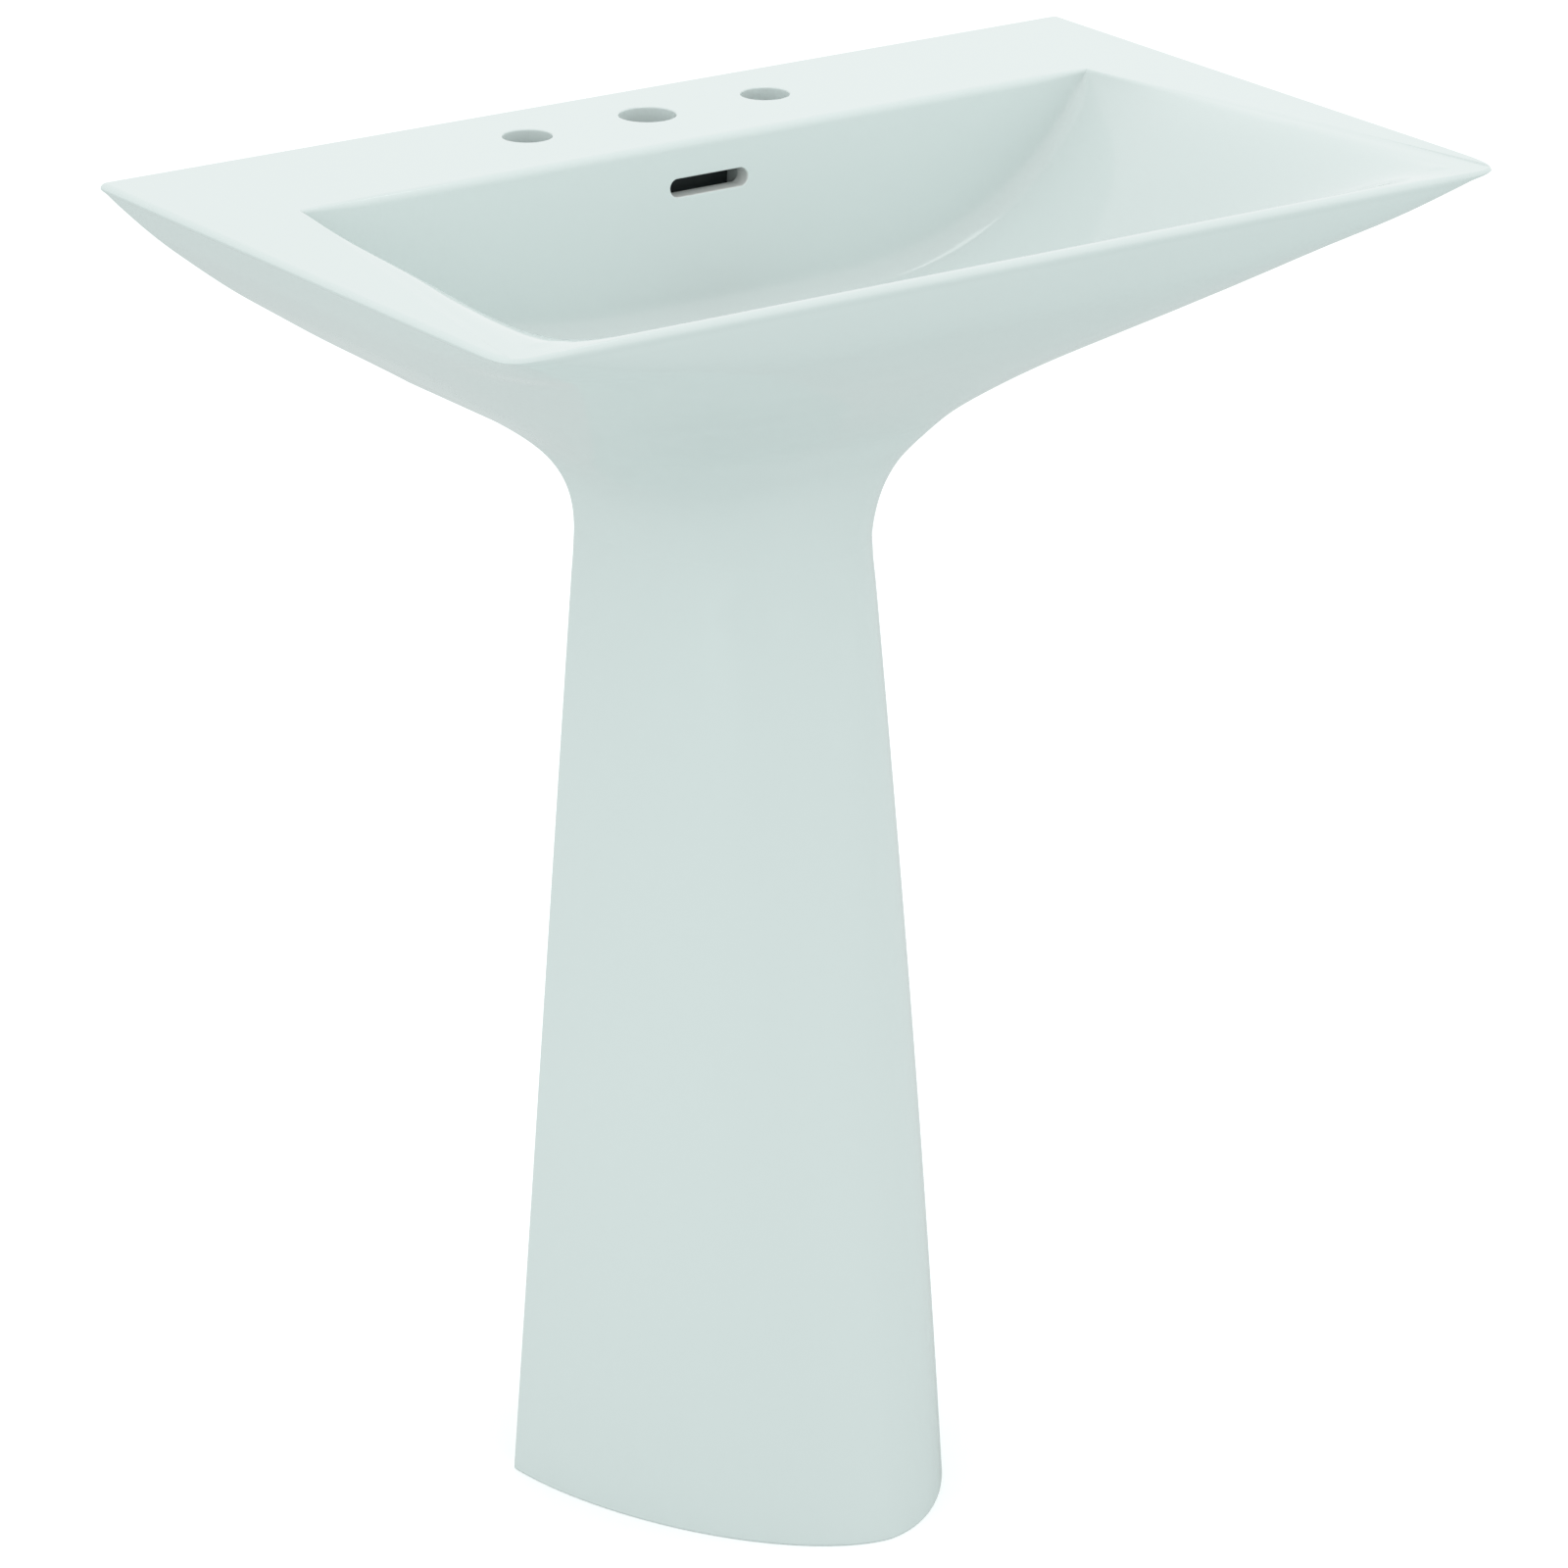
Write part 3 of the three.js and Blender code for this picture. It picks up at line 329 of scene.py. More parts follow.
def steadyCurve(places, values, wanted):
    # A smooth curve through stations that never overshoots them.
    steps = np.diff(places)
    slopes = np.diff(values) / steps
    tangents = np.zeros(len(places))
    tangents[0], tangents[-1] = slopes[0], slopes[-1]
    for i in range(1, len(places) - 1):
        if slopes[i - 1] * slopes[i] > 0:
            before = steps[i - 1] + 2 * steps[i]
            after = 2 * steps[i - 1] + steps[i]
            tangents[i] = (before + after) / (after / slopes[i - 1] + before / slopes[i])
    index = np.clip(np.searchsorted(places, wanted) - 1, 0, len(places) - 2)
    span = steps[index]
    t = (wanted - places[index]) / span
    start = values[index] * (1 + 2 * t) + tangents[index] * span * t
    end = values[index + 1] * (3 - 2 * t) - tangents[index + 1] * span * (1 - t)
    return start * (1 - t) ** 2 + end * t ** 2


def softened(values, spread, hold):
    # Blurs a sampled curve along its length, less and less towards its first samples.
    reach = int(spread * outsideForm["blurReach"])
    kernel = np.exp(-0.5 * (np.arange(-reach, reach + 1) / spread) ** 2)
    before = 2 * values[0] - values[reach:0:-1]
    after = 2 * values[-1] - values[-2:-reach - 2:-1]
    padded = np.concatenate([before, values, after])
    blurred = np.convolve(padded, kernel / kernel.sum(), mode="valid")
    share = np.clip(np.arange(len(values)) / hold, 0, 1)
    return values * (1 - share) + blurred * share


stations = outsideStations()
sampleDrops = np.arange(0, outsideForm["deckHeight"] + 0.1, outsideForm["sampleStep"])
spread = outsideForm["softening"] / outsideForm["sampleStep"]
hold = outsideForm["softenHold"] * spread
sampled = [
    softened(steadyCurve(stations[:, 0], stations[:, i], sampleDrops), spread, hold)
    for i in (1, 2, 3)
]


def formAt(drop):
    # Half width, reach and squareness of the outside at a drop.
    return [np.interp(drop, sampleDrops, values) for values in sampled]


# directions are in degrees, each crowd is how much closer and over how many degrees
gathering = {"samples": 3601, "corner": 44.7, "crowds": ((6, 5), (9, 1.3))}


def quarterAngles(count):
    # Directions over a quarter turn, gathered where the deck's corner is.
    fine = np.linspace(0, 90, gathering["samples"])
    away = fine - gathering["corner"]
    crowds = [gain * np.exp(-(away / width) ** 2) for gain, width in gathering["crowds"]]
    filled = np.cumsum(1 + crowds[0] + crowds[1])
    filled = (filled - filled[0]) / (filled[-1] - filled[0])
    return np.radians(np.interp(np.linspace(0, 1, count + 1), filled, fine))


def place(x, setback, height):
    # Points of the scene, in millimetres, from across, setback and height.
    x, setback, height = np.broadcast_arrays(x, setback, height)
    return np.stack([x, wallPlane - setback, height], axis=-1).astype(float)


sectionSteps = {"straight": 13, "corner": 5}


def sectionRing(drop, height, inset, back, steps, cornerRadius=0.0):
    # One horizontal section, from the right back corner round the front to the left back corner.
    half, reach, squareness = formAt(drop)
    half, reach = half - inset, reach - inset
    quarter = quarterAngles(steps)
    angles = np.concatenate([quarter, math.pi - quarter[-2::-1]])
    across, forward = np.cos(angles), np.sin(angles)
    total = (np.abs(across) / half) ** squareness + (forward / reach) ** squareness
    radius = total ** (-1 / squareness)
    x = radius * across
    setback = outsideForm["pedestalSetback"] + radius * forward
    start, count = back + cornerRadius, sectionSteps["straight"]
    if start < outsideForm["pedestalSetback"]:
        straight = np.linspace(start, outsideForm["pedestalSetback"], count + 1)[:-1]
        x = np.concatenate([np.full(count, half), x, np.full(count, -half)])
        setback = np.concatenate([straight, setback, straight[::-1]])
    if cornerRadius:
        turn = np.linspace(0, math.pi / 2, sectionSteps["corner"] + 1)[1:]
        away, along = cornerRadius * (1 - np.cos(turn)), cornerRadius * (1 - np.sin(turn))
        x = np.concatenate([(half - away)[::-1], x, -(half - away)])
        setback = np.concatenate([(back + along)[::-1], setback, back + along])
    return place(x, setback, height)


# Mesh helpers


def meshObject(name, points, faces):
    mesh = bpy.data.meshes.new(name)
    mesh.from_pydata((np.asarray(points) * mm).tolist(), [], faces)
    mesh.update()
    return linked(name, mesh)


def lofted(name, rings, closedEnds=True):
    # A closed skin over rings of equal counts, turned so that its faces point out.
    count = len(rings[0])
    faces = []
    for level in range(len(rings) - 1):
        low, high = level * count, (level + 1) * count
        for i in range(count):
            after = (i + 1) % count
            faces.append((low + i, low + after, high + after, high + i))
    if closedEnds:
        faces.append(tuple(range(count - 1, -1, -1)))
        last = (len(rings) - 1) * count
        faces.append(tuple(range(last, last + count)))
    made = meshObject(name, np.concatenate(rings), faces)
    faceOut(made.data)
    return made


def faceOut(mesh):
    work = bmesh.new()
    work.from_mesh(mesh)
    bmesh.ops.recalc_face_normals(work, faces=work.faces)
    if work.calc_volume(signed=True) < 0:
        bmesh.ops.reverse_faces(work, faces=work.faces)
    work.to_mesh(mesh)
    work.free()


def bake(made):
    # Makes the evaluated shape the object's own mesh.
    bpy.context.view_layer.update()
    evaluated = made.evaluated_get(bpy.context.evaluated_depsgraph_get())
    mesh = bpy.data.meshes.new_from_object(evaluated)
    made.modifiers.clear()
    old = made.data
    made.data = mesh
    mesh.name = made.name
    bpy.data.meshes.remove(old)
    return made


def carve(base, cutters, operation="DIFFERENCE"):
    for cutter in cutters:
        step = base.modifiers.new(cutter.name, "BOOLEAN")
        step.operation = operation
        step.solver = "MANIFOLD"
        step.object = cutter
    bake(base)
    for cutter in cutters:
        bpy.data.objects.remove(cutter)
    return base


shading = {"sharpOver": 24, "weight": 60}


def handOver(made, node, body="sink"):
    # Smooths a finished piece, puts it under its body and hides the node that it stands for.
    smooth(made)
    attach(made, body)
    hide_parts(node)


def smooth(made):
    # Smooth shading with crisp edges, led by the large faces.
    made.data.shade_smooth()
    made.data.set_sharp_from_angle(angle=math.radians(shading["sharpOver"]))
    weighted = made.modifiers.new("weighted", "WEIGHTED_NORMAL")
    weighted.keep_sharp = True
    weighted.weight = shading["weight"]
    return bake(made)


# The bowl's form

bowl = {
    "back": 119,
    "backHalfWidth": 283.5,
    "front": 431,
    "sideTaper": 0.165,
    "floorDrop": 120,
    "wallFootDrop": 102,
    "wallLean": 0.08,
    "filletRadius": 11,
    "backCurve": (3.5, 0.78),  # squareness and softness of the floor's rise to the sides
    "frontCurve": (5.3, 2.1),
    "softenedOver": 170,
    "frontSquareness": 2.1,
    "drainSetback": 195,
    "frontPoints": 56,
    "sidePoints": 60,
    "backPoints": 56,
    "pointGathering": (0.45, 0.55),  # shares of even steps and of steps gathered at both ends
    "rings": 78,
    "raySamples": 900,
    "rayGathering": 1.5,
    "bandStart": 9.5,
    "nearLip": (8, 6.6, 5.4, 4.4, 3.5, 2.7, 2.0, 1.4, 0.9, 0.45, 0),  # down the wall from the edge
    "pastLip": (0.45, 0.9, 1.4, 2.0, 2.7, 3.5, 4.5, 6, 8),  # out over the deck
    "overDeck": 0.004,
    "airHeights": (0.4, 8.0),
    "shellShares": (0.05, 0.3, 0.5, 0.65, 0.77, 0.86, 0.92, 0.96, 0.985, 1),
    "shellPoints": (10, 12, 12),
}


def bowlSizes(grown):
    form = bowl
    return {
        "back": form["back"] - grown,
        "front": form["front"] + grown,
        "floor": form["floorDrop"] + grown,
        "wallFoot": form["wallFootDrop"] + grown,
        "radius": form["filletRadius"] + grown,
    }


def signedPower(value, power):
    return np.sign(value) * np.abs(value) ** power


def bowlDepth(x, setback, grown=0.0):
    # Depth under the deck, which goes on below zero outside the opening.
    sizes = bowlSizes(grown)
    drain = bowl["drainSetback"]
    half = bowl["backHalfWidth"] + grown + bowl["sideTaper"] * (setback - bowl["back"])
    away = np.clip((setback - sizes["back"]) / bowl["softenedOver"], 0, 1)
    away = away * away * (3 - 2 * away)
    squareness, softness = [mix(*ends, away) for ends in zip(bowl["backCurve"], bowl["frontCurve"])]
    side = signedPower(1 - (np.abs(x) / half) ** squareness, softness)
    forward = np.maximum((setback - drain) / (sizes["front"] - drain), 0)
    backward = np.maximum((drain - setback) / (drain - sizes["back"]), 0)
    fall = (1 - sizes["wallFoot"] / sizes["floor"]) * backward ** 2
    along = 1 - forward ** bowl["frontSquareness"] - fall
    sign = np.where((side < 0) | (along < 0), -1, 1)
    scoop = sizes["floor"] * sign * np.abs(side * along)
    lean = bowl["wallLean"]
    distance = setback - sizes["back"]
    radius = np.clip(scoop / 2, 0, sizes["radius"])
    across, down = radius - distance, radius - scoop
    steep = 1 + lean * lean
    halfway = across * lean + down
    inside = halfway ** 2 - steep * (across ** 2 + down ** 2 - radius ** 2)
    fillet = (np.sqrt(np.maximum(inside, 0)) - halfway) / steep
    near = np.minimum(scoop, distance / lean)
    near = np.where(inside > 0, np.minimum(near, np.maximum(fillet, 0)), near)
    near = np.where(scoop <= 0, np.minimum(scoop, distance / lean), near)
    return np.where((distance > radius + lean * scoop) & (scoop > 0), scoop, near)


# radii of the rounded lip, and where one passes into another: start and run of setback or of width
lip = {
    "side": 1.6,
    "front": 3.0,
    "back": 4.5,
    "toFront": (300, 100),
    "toBack": 12,
    "toSide": (240, 50),
    "slopeStep": 0.02,
    "fieldStep": 0.01,
    "rounds": 7,
    "flattest": 0.05,
    "longestMove": 1.5,
}


def lipRadius(x, setback):
    # The lip is roundest along the back wall and tightest at the sides.
    start, run = lip["toFront"]
    toFront = np.clip((setback - start) / run, 0, 1)
    toBack = np.clip(1 - (setback - bowl["back"]) / lip["toBack"], 0, 1)
    start, run = lip["toSide"]
    sideways = np.clip((np.abs(x) - start) / run, 0, 1)
    radius = mix(lip["side"], lip["front"], toFront)
    return mix(radius, mix(lip["back"], lip["side"], sideways), toBack)


def lipField(points):
    # Above zero in the air over the deck or in the bowl, and zero on the rounded ceramic.
    x, setback, height = points.T
    step = lip["slopeStep"]
    depth = bowlDepth(x, setback)
    slopeX = (bowlDepth(x + step, setback) - bowlDepth(x - step, setback)) / (2 * step)
    slopeY = (bowlDepth(x, setback + step) - bowlDepth(x, setback - step)) / (2 * step)
    bowlAir = (height + depth) / np.sqrt(1 + slopeX ** 2 + slopeY ** 2)
    radius = lipRadius(x, setback)
    reach = np.hypot(np.maximum(radius + height, 0), np.maximum(radius + bowlAir, 0))
    return np.minimum(-radius, np.maximum(height, bowlAir)) + reach


def ontoLip(points):
    # Moves points along the field's slope until they lie on the ceramic.
    points, step = points.copy(), lip["fieldStep"]
    for _ in range(lip["rounds"]):
        value = lipField(points)
        slope = np.stack([
            (lipField(points + offset) - lipField(points - offset)) / (2 * step)
            for offset in np.eye(3) * step
        ], axis=-1)
        size = np.maximum((slope ** 2).sum(axis=1), lip["flattest"])
        move = -(value / size)[:, None] * slope
        points += np.clip(move, -lip["longestMove"], lip["longestMove"])
    return points


def gathered(count):
    # Steps from 0 to 1 that are closer together at both ends.
    even = np.linspace(0, 1, count + 1)[:-1]
    plain, bent = bowl["pointGathering"]
    return plain * even + bent * (1 - np.cos(math.pi * even)) / 2


def bowlOutline(grown=0.0, counts=None):
    sizes = bowlSizes(grown)
    corners = []
    for setback in (sizes["front"], sizes["back"]):
        half = bowl["backHalfWidth"] + grown + bowl["sideTaper"] * (setback - bowl["back"])
        corners += [(0, setback), (half, setback)]
    route = [corners[0], corners[1], corners[3], corners[2]]
    counts = counts or (bowl["frontPoints"], bowl["sidePoints"], bowl["backPoints"])
    right = []
    for edge, count in enumerate(counts):
        for share in gathered(count):
            right.append([mix(route[edge][i], route[edge + 1][i], share) for i in (0, 1)])
    right.append(list(route[3]))
    right = np.array(right)
    left = right[1:-1][::-1] * [-1, 1]
    return np.concatenate([right, left])


def outlineNormals(outline):
    after = np.roll(outline, -1, axis=0) - outline
    before = outline - np.roll(outline, 1, axis=0)
    sides = []
    for edge in (before, after):
        edge = edge / np.linalg.norm(edge, axis=1)[:, None]
        sides.append(np.stack([-edge[:, 1], edge[:, 0]], axis=-1))
    both = sides[0] + sides[1]
    normals = both / (1 + (sides[0] * sides[1]).sum(axis=1))[:, None]
    outward = ((outline - [0, bowl["drainSetback"]]) * normals).sum(axis=1)
    return normals * np.sign(outward)[:, None]


def bowlCutter():
    # The air in the bowl, flared over the rounded lip so that it meets the deck smoothly.
    outline = bowlOutline()
    drain = np.array([0, bowl["drainSetback"]])
    shares = 1 - (1 - np.linspace(0, 1, bowl["raySamples"])) ** bowl["rayGathering"]
    rayX = outline[:, :1] * shares
    rayY = drain[1] + (outline[:, 1:] - drain[1]) * shares
    depth = np.maximum(bowlDepth(rayX, rayY), 0)
    depth[:, -1] = 0
    run = np.linalg.norm(outline - drain, axis=1)[:, None] * shares
    length = np.hypot(np.diff(run, axis=1), np.diff(depth, axis=1)).cumsum(axis=1)
    length = np.concatenate([np.zeros((len(outline), 1)), length], axis=1)
    nearLip, pastLip, inner = bowl["nearLip"], bowl["pastLip"], bowl["rings"]
    rings = []
    for level in range(1, inner + len(nearLip)):
        ring = []
        for ray in range(len(outline)):
            total = length[ray, -1]
            if level < inner:
                wanted = (total - bowl["bandStart"]) * level / (inner - 1)
            else:
                wanted = total - nearLip[level - inner]
            share = np.interp(wanted, length[ray], shares)
            ring.append((
                outline[ray, 0] * share,
                drain[1] + (outline[ray, 1] - drain[1]) * share,
                -np.interp(wanted, length[ray], depth[ray]),
            ))
        rings.append(np.array(ring))
    normals = outlineNormals(outline)
    for away in pastLip:
        flat = outline + normals * away
        rings.append(np.column_stack([flat, np.zeros(len(flat))]))
    # the last two rings of the bowl bend too
    bent = len(nearLip) + len(pastLip) + 2
    band = ontoLip(np.concatenate(rings[-bent:]))
    rings[-bent:] = list(band.reshape(bent, len(outline), 3))
    for ring in rings[-len(pastLip):]:
        ring[:, 2] += bowl["overDeck"]
    flat = outline + normals * bowl["bandStart"]
    for height in bowl["airHeights"]:
        rings.append(np.column_stack([flat, np.full(len(flat), height)]))
    return lofted("bowlCutter", [place(ring[:, 0], ring[:, 1], deckTop + ring[:, 2]) for ring in rings])


def bowlShell(grown):
    # The bowl's form grown outward, coarse, for the room under it.
    outline = bowlOutline(grown, bowl["shellPoints"])
    drain = bowl["drainSetback"]
    rings = []
    for share in bowl["shellShares"]:
        x, setback = outline[:, 0] * share, drain + (outline[:, 1] - drain) * share
        depth = np.maximum(bowlDepth(x, setback, grown), 0) if share < 1 else np.zeros(len(x))
        rings.append(place(x, setback, deckTop - depth))
    rings.append(place(outline[:, 0], outline[:, 1], deckTop + bowl["airHeights"][1]))
    return lofted("bowlShell", rings)


# The basin's other sizes

basin = {
    "rimRadius": 3.2,
    "rimSteps": 8,
    "rimBackShare": 0.6,
    "cornerRadius": 2.0,
    "aroundSteps": 84,
    "upperDrop": 12,
    "skirtRows": 50,
    "upperRows": 12,
    "skirtWall": 13,
    "shellWall": 10,
    "roomRows": 16,
    "roomSteps": 26,
    "deckThickness": 15.06,
    "apronThickness": 12,
    "apronDrop": 95,
    "apronRow": 6,
    "apronEdge": 1.6,
    "apronFront": ((-0.2, 1.6), (0.5, 0.5), (1.6, 0)),  # setback and growth along its rounded edge
    "bossRadius": 36,
    "bossDrop": 156,
    "bossEdge": ((-2, 0), (-0.6, 0.6), (0, 2), (0, 36)),  # steps out and up from its lower corner
    "boreRadius": 23,
    "boreLead": 1,
    "borePast": (0.1, 5),  # how far the lead, and then the cutter, run past the ceramic
    "recessRadius": 33,
    "recessDrop": 122.5,
    "recessHeight": 4.2,
    # steps out and up from the recess's lower corner, then from its rim
    "recessFoot": ((-1.2, 0), (-0.35, 0.35), (0, 1.2)),
    "recessRim": ((0.25, -1.5), (1.0, -0.5), (2.4, 0), (6, 0.9), (7, 6)),
    "tapSetback": 54.5,
    "tapHoles": ((-86.5, 15), (0, 17.5), (86.5, 15)),
    "tapEdge": 1.0,
    "tapSides": 96,
    "mouth": (7, 0.003, 1.6, 0.35),  # steps, height past the surface, flare in edges, its rise
    "clear": 6,  # how far a cutter starts outside the basin
    "fixingX": 140,
    "fixingDrop": 62,
    "fixingRadius": 9,
    "fixingStart": -3,  # the setback where its cutter starts
    "slotWidth": 56,
    "slotHeight": 11,
    "slotDrop": 27.5,
    "slotEdge": 0.9,
    "slotEdgeSteps": 6,
    "slotEndPoints": 19,
    "slotDepth": 16.5,
    "slotInside": (8, 1.6),  # depth of its next ring, then of the last plain one, that in edges
    "slotMouth": (0.002, 1.5, 0.3, 8),  # height past the wall, flare in edges, its rise, where it ends
    "ductWidth": 60,
    # setback and drop of the closed duct from the slot down to the drain's bore
    "duct": (
        (109, 16.5), (116.04, 88), (133, 112), (183.5, 128),
        (183.5, 141), (133, 125), (96, 101), (96, 16.5),
    ),
    "ductWall": 8,
    # which way each corner of the duct moves when it grows
    "ductOutward": ((1, -1), (1, 0), (0, -1), (0, -1), (0, 1), (-1, 1), (-1, 0), (-1, -1)),
}
deckTop = outsideForm["deckHeight"]


def basinOutside():
    seam, rim, upper = outsideForm["seamDrop"], basin["rimRadius"], basin["upperDrop"]
    skirt = np.linspace(seam, upper, basin["skirtRows"])
    drops = np.concatenate([skirt, np.linspace(upper, rim, basin["upperRows"])[1:]])
    corner, steps = basin["cornerRadius"], basin["aroundSteps"]
    rings = [sectionRing(drop, deckTop - drop, 0, 0, steps, corner) for drop in drops]
    for sine, cosine in quarterSteps(basin["rimSteps"])[1:]:
        inset, height = rim * (1 - cosine), deckTop - rim * (1 - sine)
        rings.append(sectionRing(rim, height, inset, inset * basin["rimBackShare"], steps, corner))
    return lofted("basinShell", rings)


def roundRod(name, x, setback, profile, sides=64, alongY=False):
    # A closed solid of revolution from radius and height pairs, upright or running to the wall.
    turn = np.linspace(0, 2 * math.pi, sides, endpoint=False)
    rings = []
    for radius, height in profile:
        across, forward = radius * np.cos(turn), radius * np.sin(turn)
        if alongY:
            rings.append(place(x + across, height, setback + forward))
        else:
            rings.append(place(x + across, setback + forward, height))
    return lofted(name, rings)


def quarterSteps(count):
    # Sine and cosine at even steps of a quarter turn.
    angles = [step / count * math.pi / 2 for step in range(count + 1)]
    return [(math.sin(angle), math.cos(angle)) for angle in angles]


def flared(radius, top, edge):
    # The end of a hole whose mouth is rounded over, then leaves the surface at a small angle.
    steps, past, flare, rise = basin["mouth"]
    points = [
        (radius + edge * (1 - cosine), top - edge * (1 - sine))
        for sine, cosine in quarterSteps(steps)
    ]
    points[-1] = (points[-1][0], top + past)
    wide = radius + edge * flare
    return points + [(wide, top + rise), (wide, top + basin["clear"])]


def underRoom():
    # The hollow under the basin, less the bowl, the boss and the duct that hang in it.
    seam, steps = outsideForm["seamDrop"], basin["roomSteps"]
    drops = [seam + basin["clear"], *np.linspace(seam, basin["deckThickness"], basin["roomRows"])]
    room = lofted("underRoom", [
        sectionRing(min(drop, seam), deckTop - drop, basin["skirtWall"], basin["apronThickness"], steps)
        for drop in drops
    ])
    corner = (basin["bossRadius"], deckTop - basin["bossDrop"])
    profile = [(corner[0] + out, corner[1] + up) for out, up in basin["bossEdge"]]
    boss = roundRod("boss", 0, bowl["drainSetback"], profile)
    wall = basin["ductWall"]
    duct = ductSolid("ductWalls", wall, basin["ductWidth"] + 2 * wall)
    carve(room, [bowlShell(basin["shellWall"]), boss, duct])
    return largestPart(room)


def ductSolid(name, margin, width):
    outline = np.array(basin["duct"], float) + np.array(basin["ductOutward"]) * margin
    rings = [place(side * width / 2, outline[:, 0], deckTop - outline[:, 1]) for side in (-1, 1)]
    return lofted(name, rings)


def largestPart(made):
    # Closed pockets beside the main room stay solid.
    work = bmesh.new()
    work.from_mesh(made.data)
    left = set(work.faces)
    groups = []
    while left:
        start = left.pop()
        group, front = [start], [start]
        while front:
            face = front.pop()
            for edge in face.edges:
                for other in edge.link_faces:
                    if other in left:
                        left.discard(other)
                        group.append(other)
                        front.append(other)
        groups.append(group)
    groups.sort(key=lambda faces: sum(face.calc_area() for face in faces), reverse=True)
    spare = [face for group in groups[1:] for face in group]
    bmesh.ops.delete(work, geom=spare, context="FACES")
    work.to_mesh(made.data)
    work.free()
    return made


def apronOpening():
    # The rear apron stops above the seam, its lower edge rounded off.
    seam, front = outsideForm["seamDrop"], basin["apronThickness"]
    top, clear = basin["apronDrop"], basin["clear"]
    drops = np.array([seam + clear, seam, mix(top, seam, 0.5), top + basin["apronRow"], top])
    half = formAt(np.minimum(drops, seam))[0] - basin["skirtWall"]
    rings = []
    levels = ((-clear, basin["apronEdge"]), *basin["apronFront"], (front + clear, 0))
    for setback, grow in levels:
        right = np.column_stack([half + grow, drops])
        right[-1, 1] -= grow
        ring = np.concatenate([right, right[::-1] * [-1, 1]])
        rings.append(place(ring[:, 0], setback, deckTop - ring[:, 1]))
    return lofted("apronOpening", rings)


def tapHole(number, x, radius):
    bottom, edge = deckTop - basin["deckThickness"], basin["tapEdge"]
    low = [(r, 2 * bottom - h) for r, h in flared(radius, bottom, edge)][::-1]
    profile = low + flared(radius, deckTop, edge)
    return roundRod(f"tapHole{number}", x, basin["tapSetback"], profile, basin["tapSides"])


def fixingHole(number, x):
    radius, height = basin["fixingRadius"], deckTop - basin["fixingDrop"]
    profile = [(radius, basin["fixingStart"]), (radius, basin["apronThickness"] + basin["clear"])]
    return roundRod(f"fixingHole{number}", x, height, profile, 48, alongY=True)


def drainCuts():
    recess, floor = basin["recessRadius"], deckTop - basin["recessDrop"]
    rim = floor + basin["recessHeight"]
    cut = [(recess + out, floor + up) for out, up in basin["recessFoot"]]
    cut += [(recess + out, rim + up) for out, up in basin["recessRim"]]
    bore, bottom, lead = basin["boreRadius"], deckTop - basin["bossDrop"], basin["boreLead"]
    near, far = basin["borePast"]
    through = [(bore + lead, bottom - far), (bore + lead, bottom - near), (bore, bottom + lead)]
    through += [(bore, floor - lead), (bore + lead, floor + near), (bore + lead, floor + far)]
    profiles = {"drainRecess": cut, "drainBore": through}
    return [roundRod(name, 0, bowl["drainSetback"], rows, 96) for name, rows in profiles.items()]


def slotCutter():
    # The overflow slot, its mouth rounded over to follow the leaning wall.
    radius = basin["slotHeight"] / 2
    straight = (basin["slotWidth"] - basin["slotHeight"]) / 2
    count, steps, edge = basin["slotEndPoints"], basin["slotEdgeSteps"], basin["slotEdge"]
    turn = np.linspace(-math.pi / 2, math.pi / 2, count)
    normals = np.stack([np.cos(turn), np.sin(turn)], axis=-1)
    # the left end runs on from the top round to the bottom
    normals = np.concatenate([normals, normals[::-1] * [-1, 1]])
    centres = np.concatenate([np.full(count, straight), np.full(count, -straight)])
    (inner, plain), (past, flare, rise, end) = basin["slotInside"], basin["slotMouth"]
    # depth into the bowl and growth, from the duct out past the wall
    levels = [(-basin["slotDepth"], 0.0), (-inner, 0.0), (-edge * plain, 0.0)]
    levels += [(edge * (sine - 1) + past, edge * (1 - cosine)) for sine, cosine in quarterSteps(steps)]
    levels += [(rise, edge * flare), (end, edge * flare)]
    rings = []
    for depth, grow in levels:
        x = centres + normals[:, 0] * (radius + grow)
        drop = basin["slotDrop"] - normals[:, 1] * (radius + grow)
        wall = bowl["back"] + bowl["wallLean"] * drop
        rings.append(place(x, wall + depth, deckTop - drop))
    return lofted("slotCutter", rings)


def insideOutline(outline, across, down):
    # Which points lie inside a closed outline.
    inside = np.zeros(len(across), bool)
    for (s0, d0), (s1, d1) in zip(outline, outline[1:] + outline[:1]):
        if d0 != d1:
            crossing = s0 + (down - d0) / (d1 - d0) * (s1 - s0)
            inside ^= ((d0 > down) != (d1 > down)) & (across < crossing)
    return inside


# how far each look of the basin is tested for, in millimetres
paint = {"before": 0.2, "skirt": 0.6, "plane": 0.05, "wall": 0.3, "deck": 0.5, "bowl": 2, "bore": 2}


